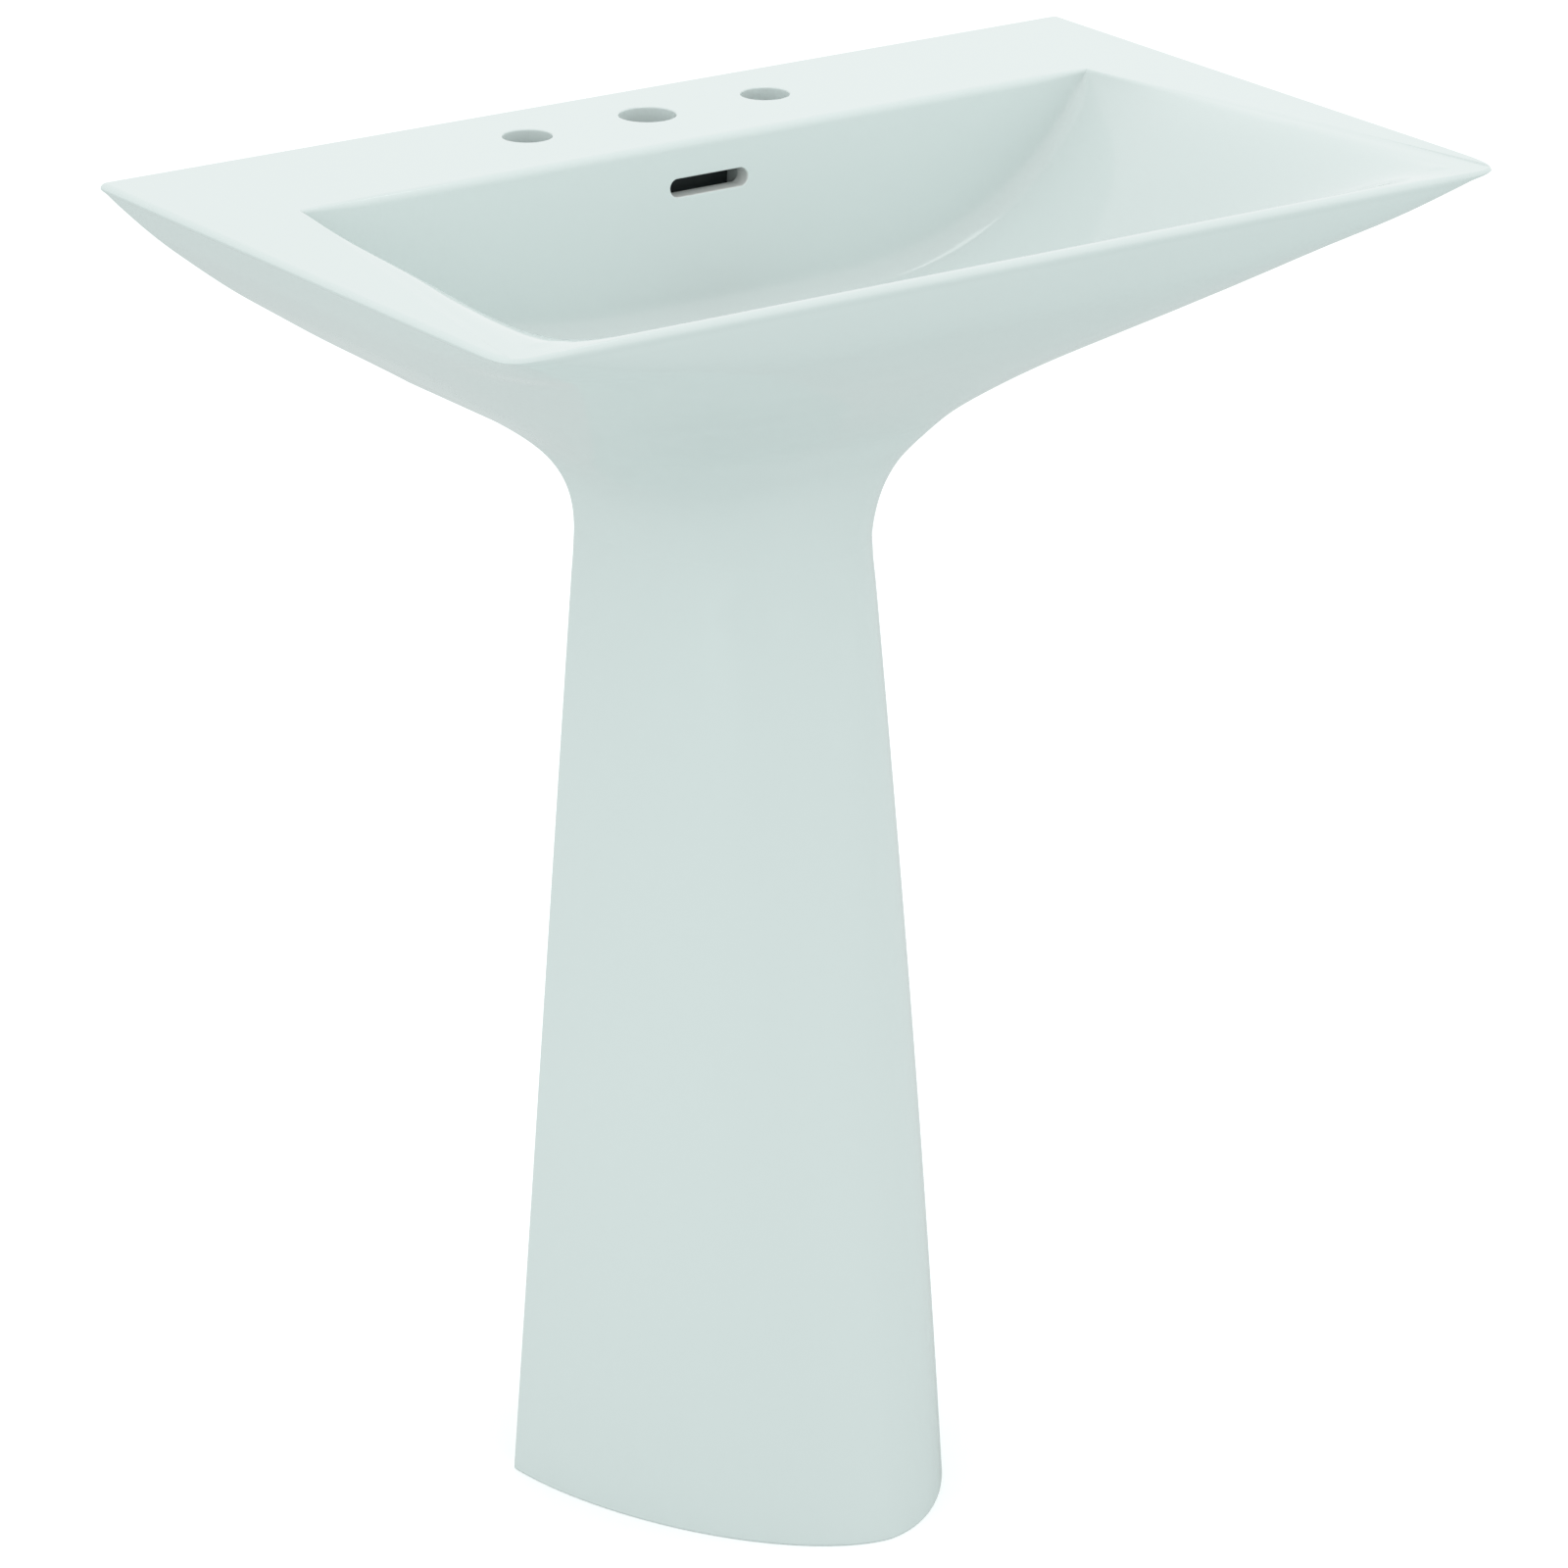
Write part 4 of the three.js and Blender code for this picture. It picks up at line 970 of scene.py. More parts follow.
def finishBasin(mesh):
    # Glaze where it shows, bare clay at the wall and the seam, thin glaze below, and painted shade, near
    # black, inside the duct.
    count = len(mesh.polygons)
    centres, normals = np.empty(count * 3), np.empty(count * 3)
    mesh.polygons.foreach_get("center", centres)
    mesh.polygons.foreach_get("normal", normals)
    normals = normals.reshape(-1, 3)
    centres = centres.reshape(-1, 3) / mm
    x, depth, height = (centres + normals * paint["before"]).T
    setback, drop = wallPlane - depth, deckTop - height
    seam = outsideForm["seamDrop"]
    half, reach, power = formAt(np.clip(drop, 0, seam))
    wall = basin["skirtWall"] - paint["skirt"]
    forward = np.maximum(setback - outsideForm["pedestalSetback"], 0) / (reach - wall)
    enclosed = (np.abs(x) / (half - wall)) ** power + forward ** power < 1
    below = drop > np.maximum(bowlDepth(x, setback), 0) + paint["bowl"]
    bore = np.hypot(x, setback - bowl["drainSetback"]) < basin["boreRadius"] + paint["bore"]
    low = drop > basin["deckThickness"] - paint["deck"]
    hollow = enclosed & below & ~bore & (setback > paint["wall"]) & low
    # the faces inside the duct, which get the painted shade
    duct = insideOutline(list(basin["duct"]), setback, drop) & (np.abs(x) < basin["ductWidth"] / 2)
    bare = centres[:, 1] > wallPlane - paint["plane"]
    bare |= centres[:, 2] < deckTop - seam + paint["plane"]
    kinds = np.zeros(count, np.int32)
    mesh.materials.clear()
    mesh.materials.append(finishes["glaze"])
    for name, where in (("thinGlaze", hollow), ("clay", bare), ("ductShade", duct)):
        kinds[where] = len(mesh.materials)
        mesh.materials.append(finishes[name])
    mesh.polygons.foreach_set("material_index", kinds)


def makeBasin():
    made = basinOutside()
    cutters = [bowlCutter(), underRoom(), apronOpening()]
    cutters += [tapHole(i, x, radius) for i, (x, radius) in enumerate(basin["tapHoles"])]
    cutters += [fixingHole(i, side * basin["fixingX"]) for i, side in enumerate((-1, 1))]
    cutters += drainCuts()
    cutters += [ductSolid("duct", 0, basin["ductWidth"]), slotCutter()]
    carve(made, cutters)
    finishBasin(made.data)
    handOver(made, "basin")


makeBasin()
print("basin made")

# The pedestal: a section that follows the basin's flare, the neck and the foot, swept by rule

pedestal = {
    "topDrop": 159.7,
    "flareRows": 60,
    "shaftRows": 44,
    "plainFrom": 4,  # no rows nearer the foot than this
    "plainTo": 0.5,  # and none nearer the top
    "wall": 10,
    "backEdge": 2.5,
    "footEdge": 1.5,
    "footSteps": 5,
    "around": 176,
    "edgeColumns": 5,
}


def wallProfile():
    # Height and inset once round the wall: down the outside, under the foot, up the inside.
    top, edge = deckTop - pedestal["topDrop"], pedestal["footEdge"]
    flare = np.linspace(top, deckTop - outsideForm["neckDrop"], pedestal["flareRows"])
    shaft = np.linspace(flare[-1], 0, pedestal["shaftRows"])[1:]
    lowest, highest = pedestal["plainFrom"], top - pedestal["plainTo"]
    between = [height for height in (*flare, *shaft) if lowest < height < highest]
    turn = np.linspace(0, math.pi / 2, pedestal["footSteps"] + 1)[::-1]
    base = list(zip(edge * (1 - np.cos(turn)), edge * (1 - np.sin(turn))))
    outside = [(height, 0.0) for height in (top, *between)] + base
    inside = [(height, pedestal["wall"] - inset) for height, inset in outside[::-1]]
    return outside + inside


def pedestalSpine():
    profile = np.array(wallProfile())
    mesh = bpy.data.meshes.new("pedestal")
    mesh.from_pydata([(0, 0, height * mm) for height in profile[:, 0]], [], [])
    half, reach, power = formAt(deckTop - profile[:, 0])
    columns = {"halfWidth": half, "reach": reach, "squareness": power, "inset": profile[:, 1]}
    for name, values in columns.items():
        mesh.attributes.new(name, "FLOAT", "POINT").data.foreach_set("value", values.astype(np.float32))
    return linked("pedestal", mesh), len(profile)


def pedestalTree():
    # Sweeps every point of the spine round the section. The end columns round the wall's back edges.
    counts = {"Rows": 10, "Around": 32, "Edge Columns": 5}
    sizes = {"Wall": 0.01, "Back Edge": 0.0025, "Back Line": 0.0}
    inputs = {"Spine": "Geometry", **counts, **sizes, "Glaze": "Material"}
    tree, given, results = openTree("pedestalSweep", "GeometryNodeTree", inputs, {"Geometry": "Geometry"})
    rows, around, edges, edge = [given[title] for title in ("Rows", "Around", "Edge Columns", "Back Edge")]

    def work(operation, *values):
        return calc(tree, operation, *values)

    columns = work("ADD", work("ADD", around, work("MULTIPLY", edges, 2.0)), 3.0)
    counts = {"Size X": 1.0, "Size Y": 1.0, "Vertices X": columns, "Vertices Y": rows}
    grid = addNode(tree, "GeometryNodeMeshGrid", counts)
    index = addNode(tree, "GeometryNodeInputIndex").outputs[0]
    column = work("FLOOR", work("DIVIDE", index, rows))
    row = work("FLOORED_MODULO", index, rows)
    half, reach, power, inset = [
        spineValue(tree, given["Spine"], row, name) for name in ("halfWidth", "reach", "squareness", "inset")
    ]
    position = addNode(tree, "GeometryNodeInputPosition").outputs[0]
    point = sampleSpine(tree, given["Spine"], row, position, "FLOAT_VECTOR")
    level = addNode(tree, "ShaderNodeSeparateXYZ", {"Vector": point}).outputs["Z"]

    # how far a column lies past the ends of the arc, as a quarter turn of the edge
    first = work("ADD", edges, 1.0)
    reached = work("SUBTRACT", column, first)
    before, after = work("SUBTRACT", first, column), work("SUBTRACT", reached, around)
    past = work("MAXIMUM", work("MAXIMUM", before, after), 0.0)
    quarter = work("MULTIPLY", work("MINIMUM", work("DIVIDE", past, edges), 1.0), math.pi / 2)
    closing = work("GREATER_THAN", past, work("ADD", edges, 0.5))

    # the wall's faces draw together over the edge
    middle = work("MULTIPLY", given["Wall"], 0.5)
    sideways = work("SUBTRACT", work("MULTIPLY", inset, mm), middle)
    bend = work("MULTIPLY", edge, work("SUBTRACT", 1.0, work("COSINE", quarter)))
    pulled = work("MULTIPLY", edge, work("SUBTRACT", 1.0, work("SINE", quarter)))
    drawn = work("SUBTRACT", 1.0, work("DIVIDE", bend, middle))
    drawn = work("MULTIPLY", drawn, work("SUBTRACT", 1.0, closing))
    inset = work("MULTIPLY_ADD", sideways, drawn, middle)

    # the section's own curve
    along = work("DIVIDE", reached, around)
    angle = work("MULTIPLY", work("MINIMUM", work("MAXIMUM", along, 0.0), 1.0), math.pi)
    across, forward = work("COSINE", angle), work("MAXIMUM", work("SINE", angle), 0.0)
    half, reach = [work("SUBTRACT", work("MULTIPLY", size, mm), inset) for size in (half, reach)]
    wide = work("POWER", work("DIVIDE", work("ABSOLUTE", across), half), power)
    deep = work("POWER", work("DIVIDE", forward, reach), power)
    radius = work("POWER", work("ADD", wide, deep), work("DIVIDE", -1.0, power))
    start = work("MAXIMUM", edge, work("MULTIPLY", radius, forward))
    atEnds = work("GREATER_THAN", past, 0.0)
    setback = work("MULTIPLY_ADD", work("SUBTRACT", pulled, start), atEnds, start)
    outX, outY = work("MULTIPLY", radius, across), work("SUBTRACT", given["Back Line"], setback)
    where = addNode(tree, "ShaderNodeCombineXYZ", {"X": outX, "Y": outY, "Z": level}).outputs[0]
    swept = addNode(tree, "GeometryNodeSetPosition", {"Geometry": grid.outputs["Mesh"], "Position": where})
    closeShape(tree, swept.outputs[0], given["Glaze"], results)
    return tree


def sampleSpine(tree, spine, row, value, kind):
    inputs = {"Geometry": spine, "Value": value, "Index": row}
    return addNode(tree, "GeometryNodeSampleIndex", inputs, data_type=kind).outputs["Value"]


def spineValue(tree, spine, row, name):
    named = addNode(tree, "GeometryNodeInputNamedAttribute", {"Name": name}, data_type="FLOAT")
    return sampleSpine(tree, spine, row, named.outputs["Attribute"], "FLOAT")


def runTree(made, tree, **values):
    # Adds the tree as a modifier, sets its inputs, then keeps the mesh that it makes.
    step = made.modifiers.new(tree.name, "NODES")
    step.node_group = tree
    for item in tree.interface.items_tree:
        if item.item_type == "SOCKET" and item.in_out == "INPUT" and keyOf(item.name) in values:
            step[item.identifier] = values.pop(keyOf(item.name))
    assert not values, values
    return bake(made)


def makePedestal():
    made, rows = pedestalSpine()
    sizes = {
        "wall": pedestal["wall"],
        "backEdge": pedestal["backEdge"],
        "backLine": wallPlane - outsideForm["pedestalSetback"],
    }
    counts = {"rows": rows, "around": pedestal["around"], "edgeColumns": pedestal["edgeColumns"]}
    sizes = {name: size * mm for name, size in sizes.items()}
    runTree(made, pedestalTree(), glaze=finishes["glaze"], **counts, **sizes)
    closeSweep(made, rows)
    made.name = made.data.name = "pedestalShell"
    handOver(made, "pedestal")


def closeSweep(made, rows):
    # Joins the last row to the first, closes the ends and leaves the foot's underside bare.
    nothing = 0.00001
    work = bmesh.new()
    work.from_mesh(made.data)
    work.verts.ensure_lookup_table()
    for i in range(len(work.verts) // rows - 1):
        corners = [i * rows + rows - 1, i * rows, (i + 1) * rows, (i + 1) * rows + rows - 1]
        work.faces.new([work.verts[corner] for corner in corners])
    bmesh.ops.remove_doubles(work, verts=work.verts, dist=nothing)
    bmesh.ops.recalc_face_normals(work, faces=work.faces)
    made.data.materials.pop(index=0)  # the empty slot that the tree's grid brings
    made.data.materials.append(finishes["clay"])
    for face in work.faces:
        face.material_index = int(all(vert.co.z < nothing for vert in face.verts))
    work.to_mesh(made.data)
    work.free()


makePedestal()
print("pedestal made")

# The joint between basin and pedestal: an elastic strip, wiped flush and coloured like the glaze

jointStrip = {"width": 11, "steps": 88}


def makeJointStrip():
    seam, top = outsideForm["seamDrop"], pedestal["topDrop"]
    back, steps = outsideForm["pedestalSetback"], jointStrip["steps"]
    corners = [(top, 0), (seam, 0), (seam, jointStrip["width"]), (top, jointStrip["width"])]
    lines = [sectionRing(drop, deckTop - drop, inset, back, steps) for drop, inset in corners]
    made = lofted("joint_strip_fine", [np.array(ring) for ring in zip(*lines)])
    made.data.materials.append(finishes["glaze"])
    handOver(made, "joint_strip")


makeJointStrip()
print("joint made")

# Turned, hexagonal and threaded pieces of the waste, the trap and the wall fixings


def axisAt(x, height):
    # Turns a piece made about Z so that its Z runs to the wall, with its zero in the wall's plane.
    turned = Matrix.Rotation(-math.pi / 2, 4, "X")
    return Matrix.Translation((x * mm, wallPlane * mm, height * mm)) @ turned


def middleHeight(node):
    low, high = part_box(node)
    return (low.z + high.z) / 2 / mm


axes = {
    "drain": Matrix.Translation((0, (wallPlane - bowl["drainSetback"]) * mm, 0)),
    "outlet": axisAt(0, middleHeight("outlet_pipe")),
    "left": axisAt(-basin["fixingX"], middleHeight("hanger_bolt_left")),
    "right": axisAt(basin["fixingX"], middleHeight("hanger_bolt_right")),
}


def nodeSpan(node, axis="drain"):
    # A round piece's radius, and where it starts and ends along its axis.
    low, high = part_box(node)
    radius = (high.x - low.x) / 2 / mm
    if axis == "drain":
        return radius, low.z / mm, high.z / mm
    return radius, low.y / mm - wallPlane, high.y / mm - wallPlane


# points on a rounded corner, and the most of a side that its rounding takes up
easing = {"steps": 4, "share": 0.48}


def eased(corners, closed=True):
    # Rounds each corner of a profile of (radius, along, rounding).
    count, steps, share = len(corners), easing["steps"], easing["share"]
    points = []
    for i, (radius, along, ease) in enumerate(corners):
        here = np.array([radius, along], float)
        if not ease or (not closed and i in (0, count - 1)):
            points.append(here)
            continue
        before = np.array(corners[i - 1][:2], float) - here
        after = np.array(corners[(i + 1) % count][:2], float) - here
        far = [np.linalg.norm(side) for side in (before, after)]
        sides = [before / far[0], after / far[1]]
        half = math.acos(np.clip(sides[0] @ sides[1], -1, 1)) / 2
        reach = min(ease / math.tan(half), share * far[0], share * far[1])
        for step in range(steps + 1):
            t = step / steps
            points.append(here + sides[0] * reach * (1 - t) ** 2 + sides[1] * reach * t ** 2)
    return points


onAxis = 0.001  # a smaller radius is a point on the axis


def turnedMesh(name, corners, sides=96, closed=True):
    # Turns a profile about Z; a profile that isn't closed starts and ends on the axis.
    profile = eased(corners, closed)
    turn = np.linspace(0, 2 * math.pi, sides, endpoint=False)
    points, rows = [], []
    for radius, along in profile:
        rows.append(len(points))
        if radius < onAxis:
            points.append((0, 0, along))
        else:
            points += [(radius * math.cos(angle), radius * math.sin(angle), along) for angle in turn]
    faces = []
    for i in range(len(profile) if closed else len(profile) - 1):
        j = (i + 1) % len(profile)
        for k in range(sides):
            after = (k + 1) % sides
            lower = [rows[i]] if profile[i][0] < onAxis else [rows[i] + k, rows[i] + after]
            upper = [rows[j]] if profile[j][0] < onAxis else [rows[j] + after, rows[j] + k]
            faces.append(tuple(lower + upper))
    made = meshObject(name, points, faces)
    faceOut(made.data)
    return made


nutForm = {"faceInset": 0.2, "cornerMargin": 0.3, "cornerSlope": 28, "edge": 0.25, "edgeOver": 25}


overshoot = 2  # how far a cutter runs past what it cuts


def rodCorners(radius, low, high, ease=0):
    # A plain rod that starts and ends on the axis.
    return [(0, low, 0), (radius, low, ease), (radius, high, ease), (0, high, 0)]


def hexMesh(name, acrossFlats, low, high, bore):
    # A nut: a hexagon whose corners are turned off at both ends, with a turned bore.
    corner, flat = acrossFlats / math.sqrt(3), acrossFlats / 2 - nutForm["faceInset"]
    turn = [step * math.pi / 3 for step in range(6)]
    rings = [[(corner * math.cos(a), corner * math.sin(a), level) for a in turn] for level in (low, high)]
    made = lofted(name, [np.array(ring) for ring in rings])
    drop = (corner - flat) * math.tan(math.radians(nutForm["cornerSlope"]))
    widest = corner + nutForm["cornerMargin"]
    barrel = [(0, low, 0), (flat, low, 0), (widest, low + drop, 0)]
    barrel += [(widest, high - drop, 0), (flat, high, 0), (0, high, 0)]
    carve(made, [turnedMesh("barrel", barrel, closed=False)], "INTERSECT")
    carve(made, [turnedMesh("bore", bore, closed=False)])
    edges = made.modifiers.new("edges", "BEVEL")
    edges.width, edges.segments = nutForm["edge"] * mm, 2
    edges.limit_method = "ANGLE"
    edges.angle_limit = math.radians(nutForm["edgeOver"])
    return bake(made)


def raised(tree, node, height):
    start = addNode(tree, "ShaderNodeCombineXYZ", {"Z": height}).outputs[0]
    inputs = {"Geometry": node.outputs[0], "Translation": start}
    return addNode(tree, "GeometryNodeTransform", inputs).outputs[0]


def threadTree():
    # A ridge wound round a rod, any number of turns of it.
    sizes = {"Radius": 0.005, "Turns": 10.0, "Length": 0.02, "Start": 0.0, "Ridge": 0.0008}
    inputs = {**sizes, "Steps": 36, "Finish": "Material"}
    tree, given, results = openTree("thread", "GeometryNodeTree", inputs, {"Geometry": "Geometry"})
    spiral = {
        "Resolution": given["Steps"],
        "Rotations": given["Turns"],
        "Start Radius": given["Radius"],
        "End Radius": given["Radius"],
        "Height": given["Length"],
    }
    curve = addNode(tree, "GeometryNodeCurveSpiral", spiral).outputs["Curve"]
    upright = addNode(tree, "GeometryNodeSetCurveNormal", {"Curve": curve}, mode="Z_UP").outputs[0]
    ridge = addNode(tree, "GeometryNodeCurvePrimitiveCircle", {"Resolution": 4, "Radius": given["Ridge"]})
    sweep = {"Curve": upright, "Profile Curve": ridge.outputs["Curve"], "Fill Caps": True}
    swept = addNode(tree, "GeometryNodeCurveToMesh", sweep)
    closeShape(tree, raised(tree, swept, given["Start"]), given["Finish"], results)
    return tree


def ribTree():
    # Upright grip ribs round a collar or a nut.
    sizes = {"Radius": 0.03, "Rib Radius": 0.001, "Rib Height": 0.01, "Middle": 0.0}
    inputs = {**sizes, "Count": 24, "Finish": "Material"}
    tree, given, results = openTree("gripRibs", "GeometryNodeTree", inputs, {"Geometry": "Geometry"})
    ring = addNode(tree, "GeometryNodeMeshCircle", {"Vertices": given["Count"], "Radius": given["Radius"]})
    rod = {"Vertices": 10, "Radius": given["Rib Radius"], "Depth": given["Rib Height"]}
    rib = addNode(tree, "GeometryNodeMeshCylinder", rod).outputs["Mesh"]
    copies = addNode(tree, "GeometryNodeInstanceOnPoints", {"Points": ring.outputs[0], "Instance": rib})
    closeShape(tree, raised(tree, copies, given["Middle"]), given["Finish"], results)
    return tree


trees = {"thread": threadTree(), "ribs": ribTree()}


def wound(kind, finish, **values):
    # A thread or a ring of ribs, made by its tree about Z.
    made = meshObject(kind, [(0, 0, 0)], [])
    plain = {"steps", "count", "turns"}
    sizes = {name: value if name in plain else value * mm for name, value in values.items()}
    return runTree(made, trees[kind], finish=finishes[finish], **sizes)


def joined(first, others):
    # Several closed shells as one piece.
    work = bmesh.new()
    for piece in [first, *others]:
        work.from_mesh(piece.data)
    work.to_mesh(first.data)
    work.free()
    for piece in others:
        bpy.data.objects.remove(piece)
    return first


def thread(finish, radius, pitch, start, length, ridge, steps):
    turns = length / pitch
    return wound(
        "thread", finish, radius=radius, turns=turns, start=start, length=length, ridge=ridge, steps=steps,
    )


def present(made, node, finish, axis="drain", body="sink"):
    # Finishes a piece made about Z: its place, its material and the node it stands for.
    made.name = made.data.name = f"{node}_piece"
    made.data.transform(axes[axis])
    made.data.materials.clear()
    made.data.materials.append(finishes[finish])
    handOver(made, node, body)


def ringCorners(radius, bore, low, high, ease):
    return [(bore, low, ease), (radius, low, ease), (radius, high, ease), (bore, high, ease)]


def turnedPiece(node, finish, corners, sides=96, closed=True, axis="drain", body="sink"):
    present(turnedMesh(node, corners, sides, closed), node, finish, axis, body)


# node: axis, bore, rounding, finish
plainRings = {
    "waste_upper_seal": ("drain", 23.0, 0.5, "rubber"),
    "waste_washer": ("drain", 21.1, 0.4, "nylon"),
    "coupling_seal": ("drain", 14.8, 0.7, "rubber"),
    "cup_seal": ("drain", 25.8, 0.7, "rubber"),
    "outlet_pipe": ("outlet", 14.8, 0.3, "chrome"),
    "bolt_washer_left": ("left", 5.3, 0.4, "steel"),
    "bolt_washer_right": ("right", 5.3, 0.4, "steel"),
}


def makePlainRings():
    for node, (axis, bore, ease, finish) in plainRings.items():
        radius, low, high = nodeSpan(node, axis)
        turnedPiece(node, finish, ringCorners(radius, bore, low, high, ease), axis=axis)


makePlainRings()

# The waste fitting

wasteFitting = {
    "bore": 17.5,
    "tube": 20.8,
    "slide": 21.1,
    "flangeThickness": 2.4,
    "flangeChamfer": 2.2,
    "port": 14.0,
    "portMargin": 3,
    "bridgeDrop": 36,
    "bridgeHeight": 6,
    "bridgeWidth": 5,
    "hub": 7,
    "hubBore": 4.2,
    "threadPitch": 2.4,
    "threadStart": 1.4,
    "threadSunk": 0.34,
    "threadSteps": 64,
    "threadMargin": 4.6,  # from its end up to the ports
    "ridge": 0.62,
    "sealMouth": 29.0,
    "backNutAcrossFlats": 56,
}


def box(name, low, high):
    corners = [(x, y, z) for z in (low[2], high[2]) for x, y in (
        (low[0], low[1]), (high[0], low[1]), (high[0], high[1]), (low[0], high[1]),
    )]
    return lofted(name, [np.array(corners[:4]), np.array(corners[4:])])


def crossed(name, near, far, half, low, high):
    # Two boxes at right angles, one along X and one along Y.
    return [
        box(name, (near, -half, low), (far, half, high)),
        box(name, (-half, near, low), (half, far, high)),
    ]


def makeWasteBody():
    size = wasteFitting
    radius, low, high = nodeSpan("waste_body")
    under = high - size["flangeThickness"]
    made = turnedMesh("waste", [
        (size["bore"], low, 0.4),
        (size["tube"], low, 0.9),
        (size["tube"], under, 0.5),
        (radius, under, 0.5),
        (radius, high, 1.4),
        (size["bore"] + size["flangeChamfer"], high, 1.2),
        (size["bore"], high - size["flangeChamfer"], 0.8),
    ], 128)
    top = high - size["bridgeDrop"]
    bottom = top - size["bridgeHeight"]
    middle, half = mix(top, under, 0.5), size["port"] / 2
    inner, outer = size["bore"] - size["portMargin"], size["tube"] + size["portMargin"]
    ports = []
    for near, far in ((-outer, -inner), (inner, outer)):
        ports += crossed("port", near, far, half, middle - half, middle + half)
    carve(made, ports)
    reach = (size["bore"] + size["tube"]) / 2
    bars = crossed("bar", -reach, reach, size["bridgeWidth"] / 2, bottom, top)
    hub = turnedMesh("hub", ringCorners(size["hub"], size["hubBore"], bottom, top, 0.6), 48)
    carve(made, [*bars, hub], "UNION")
    bore = rodCorners(size["hubBore"], bottom - overshoot, top + overshoot)
    carve(made, [turnedMesh("hubBore", bore, 48, closed=False)])
    start, end = low + size["threadStart"], middle - half - size["threadMargin"]
    around, pitch = size["tube"] - size["threadSunk"], size["threadPitch"]
    turns = thread("chrome", around, pitch, start, end - start, size["ridge"], size["threadSteps"])
    present(joined(made, [turns]), "waste_body", "chrome")


def makeWasteClamp():
    size = wasteFitting
    radius, low, high = nodeSpan("waste_lower_seal")
    turnedPiece("waste_lower_seal", "rubber", [
        (size["slide"], low, 0.6),
        (radius - 1, low, 0.8),
        (radius, mix(low, high, 0.5), 1.5),
        (size["sealMouth"], high, 1.0),
        (size["slide"], high, 0.6),
    ])
    low, high = nodeSpan("waste_back_nut")[1:]
    nut = hexMesh("nut", size["backNutAcrossFlats"], low, high, boreCorners(size["slide"], low, high))
    present(nut, "waste_back_nut", "brass")


def boreCorners(radius, low, high, ease=0.7):
    # A straight bore through a nut, with a lead at each end.
    start, end, mouth = low - overshoot, high + overshoot, radius + ease + overshoot
    half = [(0, start, 0), (mouth, start, 0), (radius, low + ease, 0.1)]
    return half + [(radius, high - ease, 0.1), (mouth, end, 0), (0, end, 0)]


makeWasteBody()
makeWasteClamp()

# The plug: its cap, stem and seal move together, the cartridge stays

plug = {
    "stem": 3.0,
    "fit": 0.3,
    "capHub": 7.5,
    "hubHeight": 3.0,
    "groove": 1.2,
    "sealBore": 22.0,
    "sealRadius": 26.4,
    "crown": 1.8,
    "crownInset": 1.6,
    "cartridgeStud": 3.9,
    "studLength": 9,
    "cartridgeBore": 22,
}


def crownCorners(radius, rim, crown, steps=10):
    # A shallow dome from the rim to the axis.
    return [
        (radius * math.cos(t * math.pi / 2), rim + crown * math.sin(t * math.pi / 2), 0)
        for t in np.linspace(0, 1, steps + 1)[1:-1]
    ] + [(0, rim + crown, 0)]


def makePlug():
    size, fit = plug, plug["fit"]
    guide, seat, groove = size["stem"] + fit, size["sealBore"] - fit, size["sealRadius"] + fit
    radius, low, high = nodeSpan("plug_cap")
    bottom, rim = low + size["hubHeight"], high - size["crown"]
    socket, roof = mix(bottom, rim, 0.5), bottom + size["groove"]
    turnedPiece("plug_cap", "chrome", [
        (0, socket, 0),
        (guide, socket, 0.2),
        (guide, low, 0.3),
        (size["capHub"], low, 0.5),
        (size["capHub"], bottom, 0.6),
        (seat, bottom, 0.2),
        (seat, roof, 0.2),
        (groove, roof, 0.2),
        (groove, bottom, 0.2),
        (radius, bottom, 0.5),
        (radius, rim, 1.5),
        *crownCorners(radius - size["crownInset"], rim, size["crown"]),
    ], 128, False, body="plug")
    radius, low, high = nodeSpan("plug_stem")
    stem = [(0, low, 0), (radius, low, 0.6), (radius, high, 0.4), (0, high, 0)]
    turnedPiece("plug_stem", "steel", stem, 48, False, body="plug")
    radius, low, high = nodeSpan("plug_seal")
    turnedPiece("plug_seal", "rubber", ringCorners(radius, size["sealBore"], low, high, 0.9), body="plug")
    radius, low, high = nodeSpan("plug_cartridge")
    shoulder, floor = low + size["studLength"], high - size["cartridgeBore"]
    turnedPiece("plug_cartridge", "greyPlastic", [
        (0, low, 0),
        (size["cartridgeStud"], low, 0.5),
        (size["cartridgeStud"], shoulder, 0.2),
        (radius, shoulder, 0.5),
        (radius, high, 0.8),
        (guide, high, 0.4),
        (guide, floor, 0.2),
        (0, floor, 0),
    ], 64, False)


makePlug()
print("waste fitting and plug made")

# The bottle trap

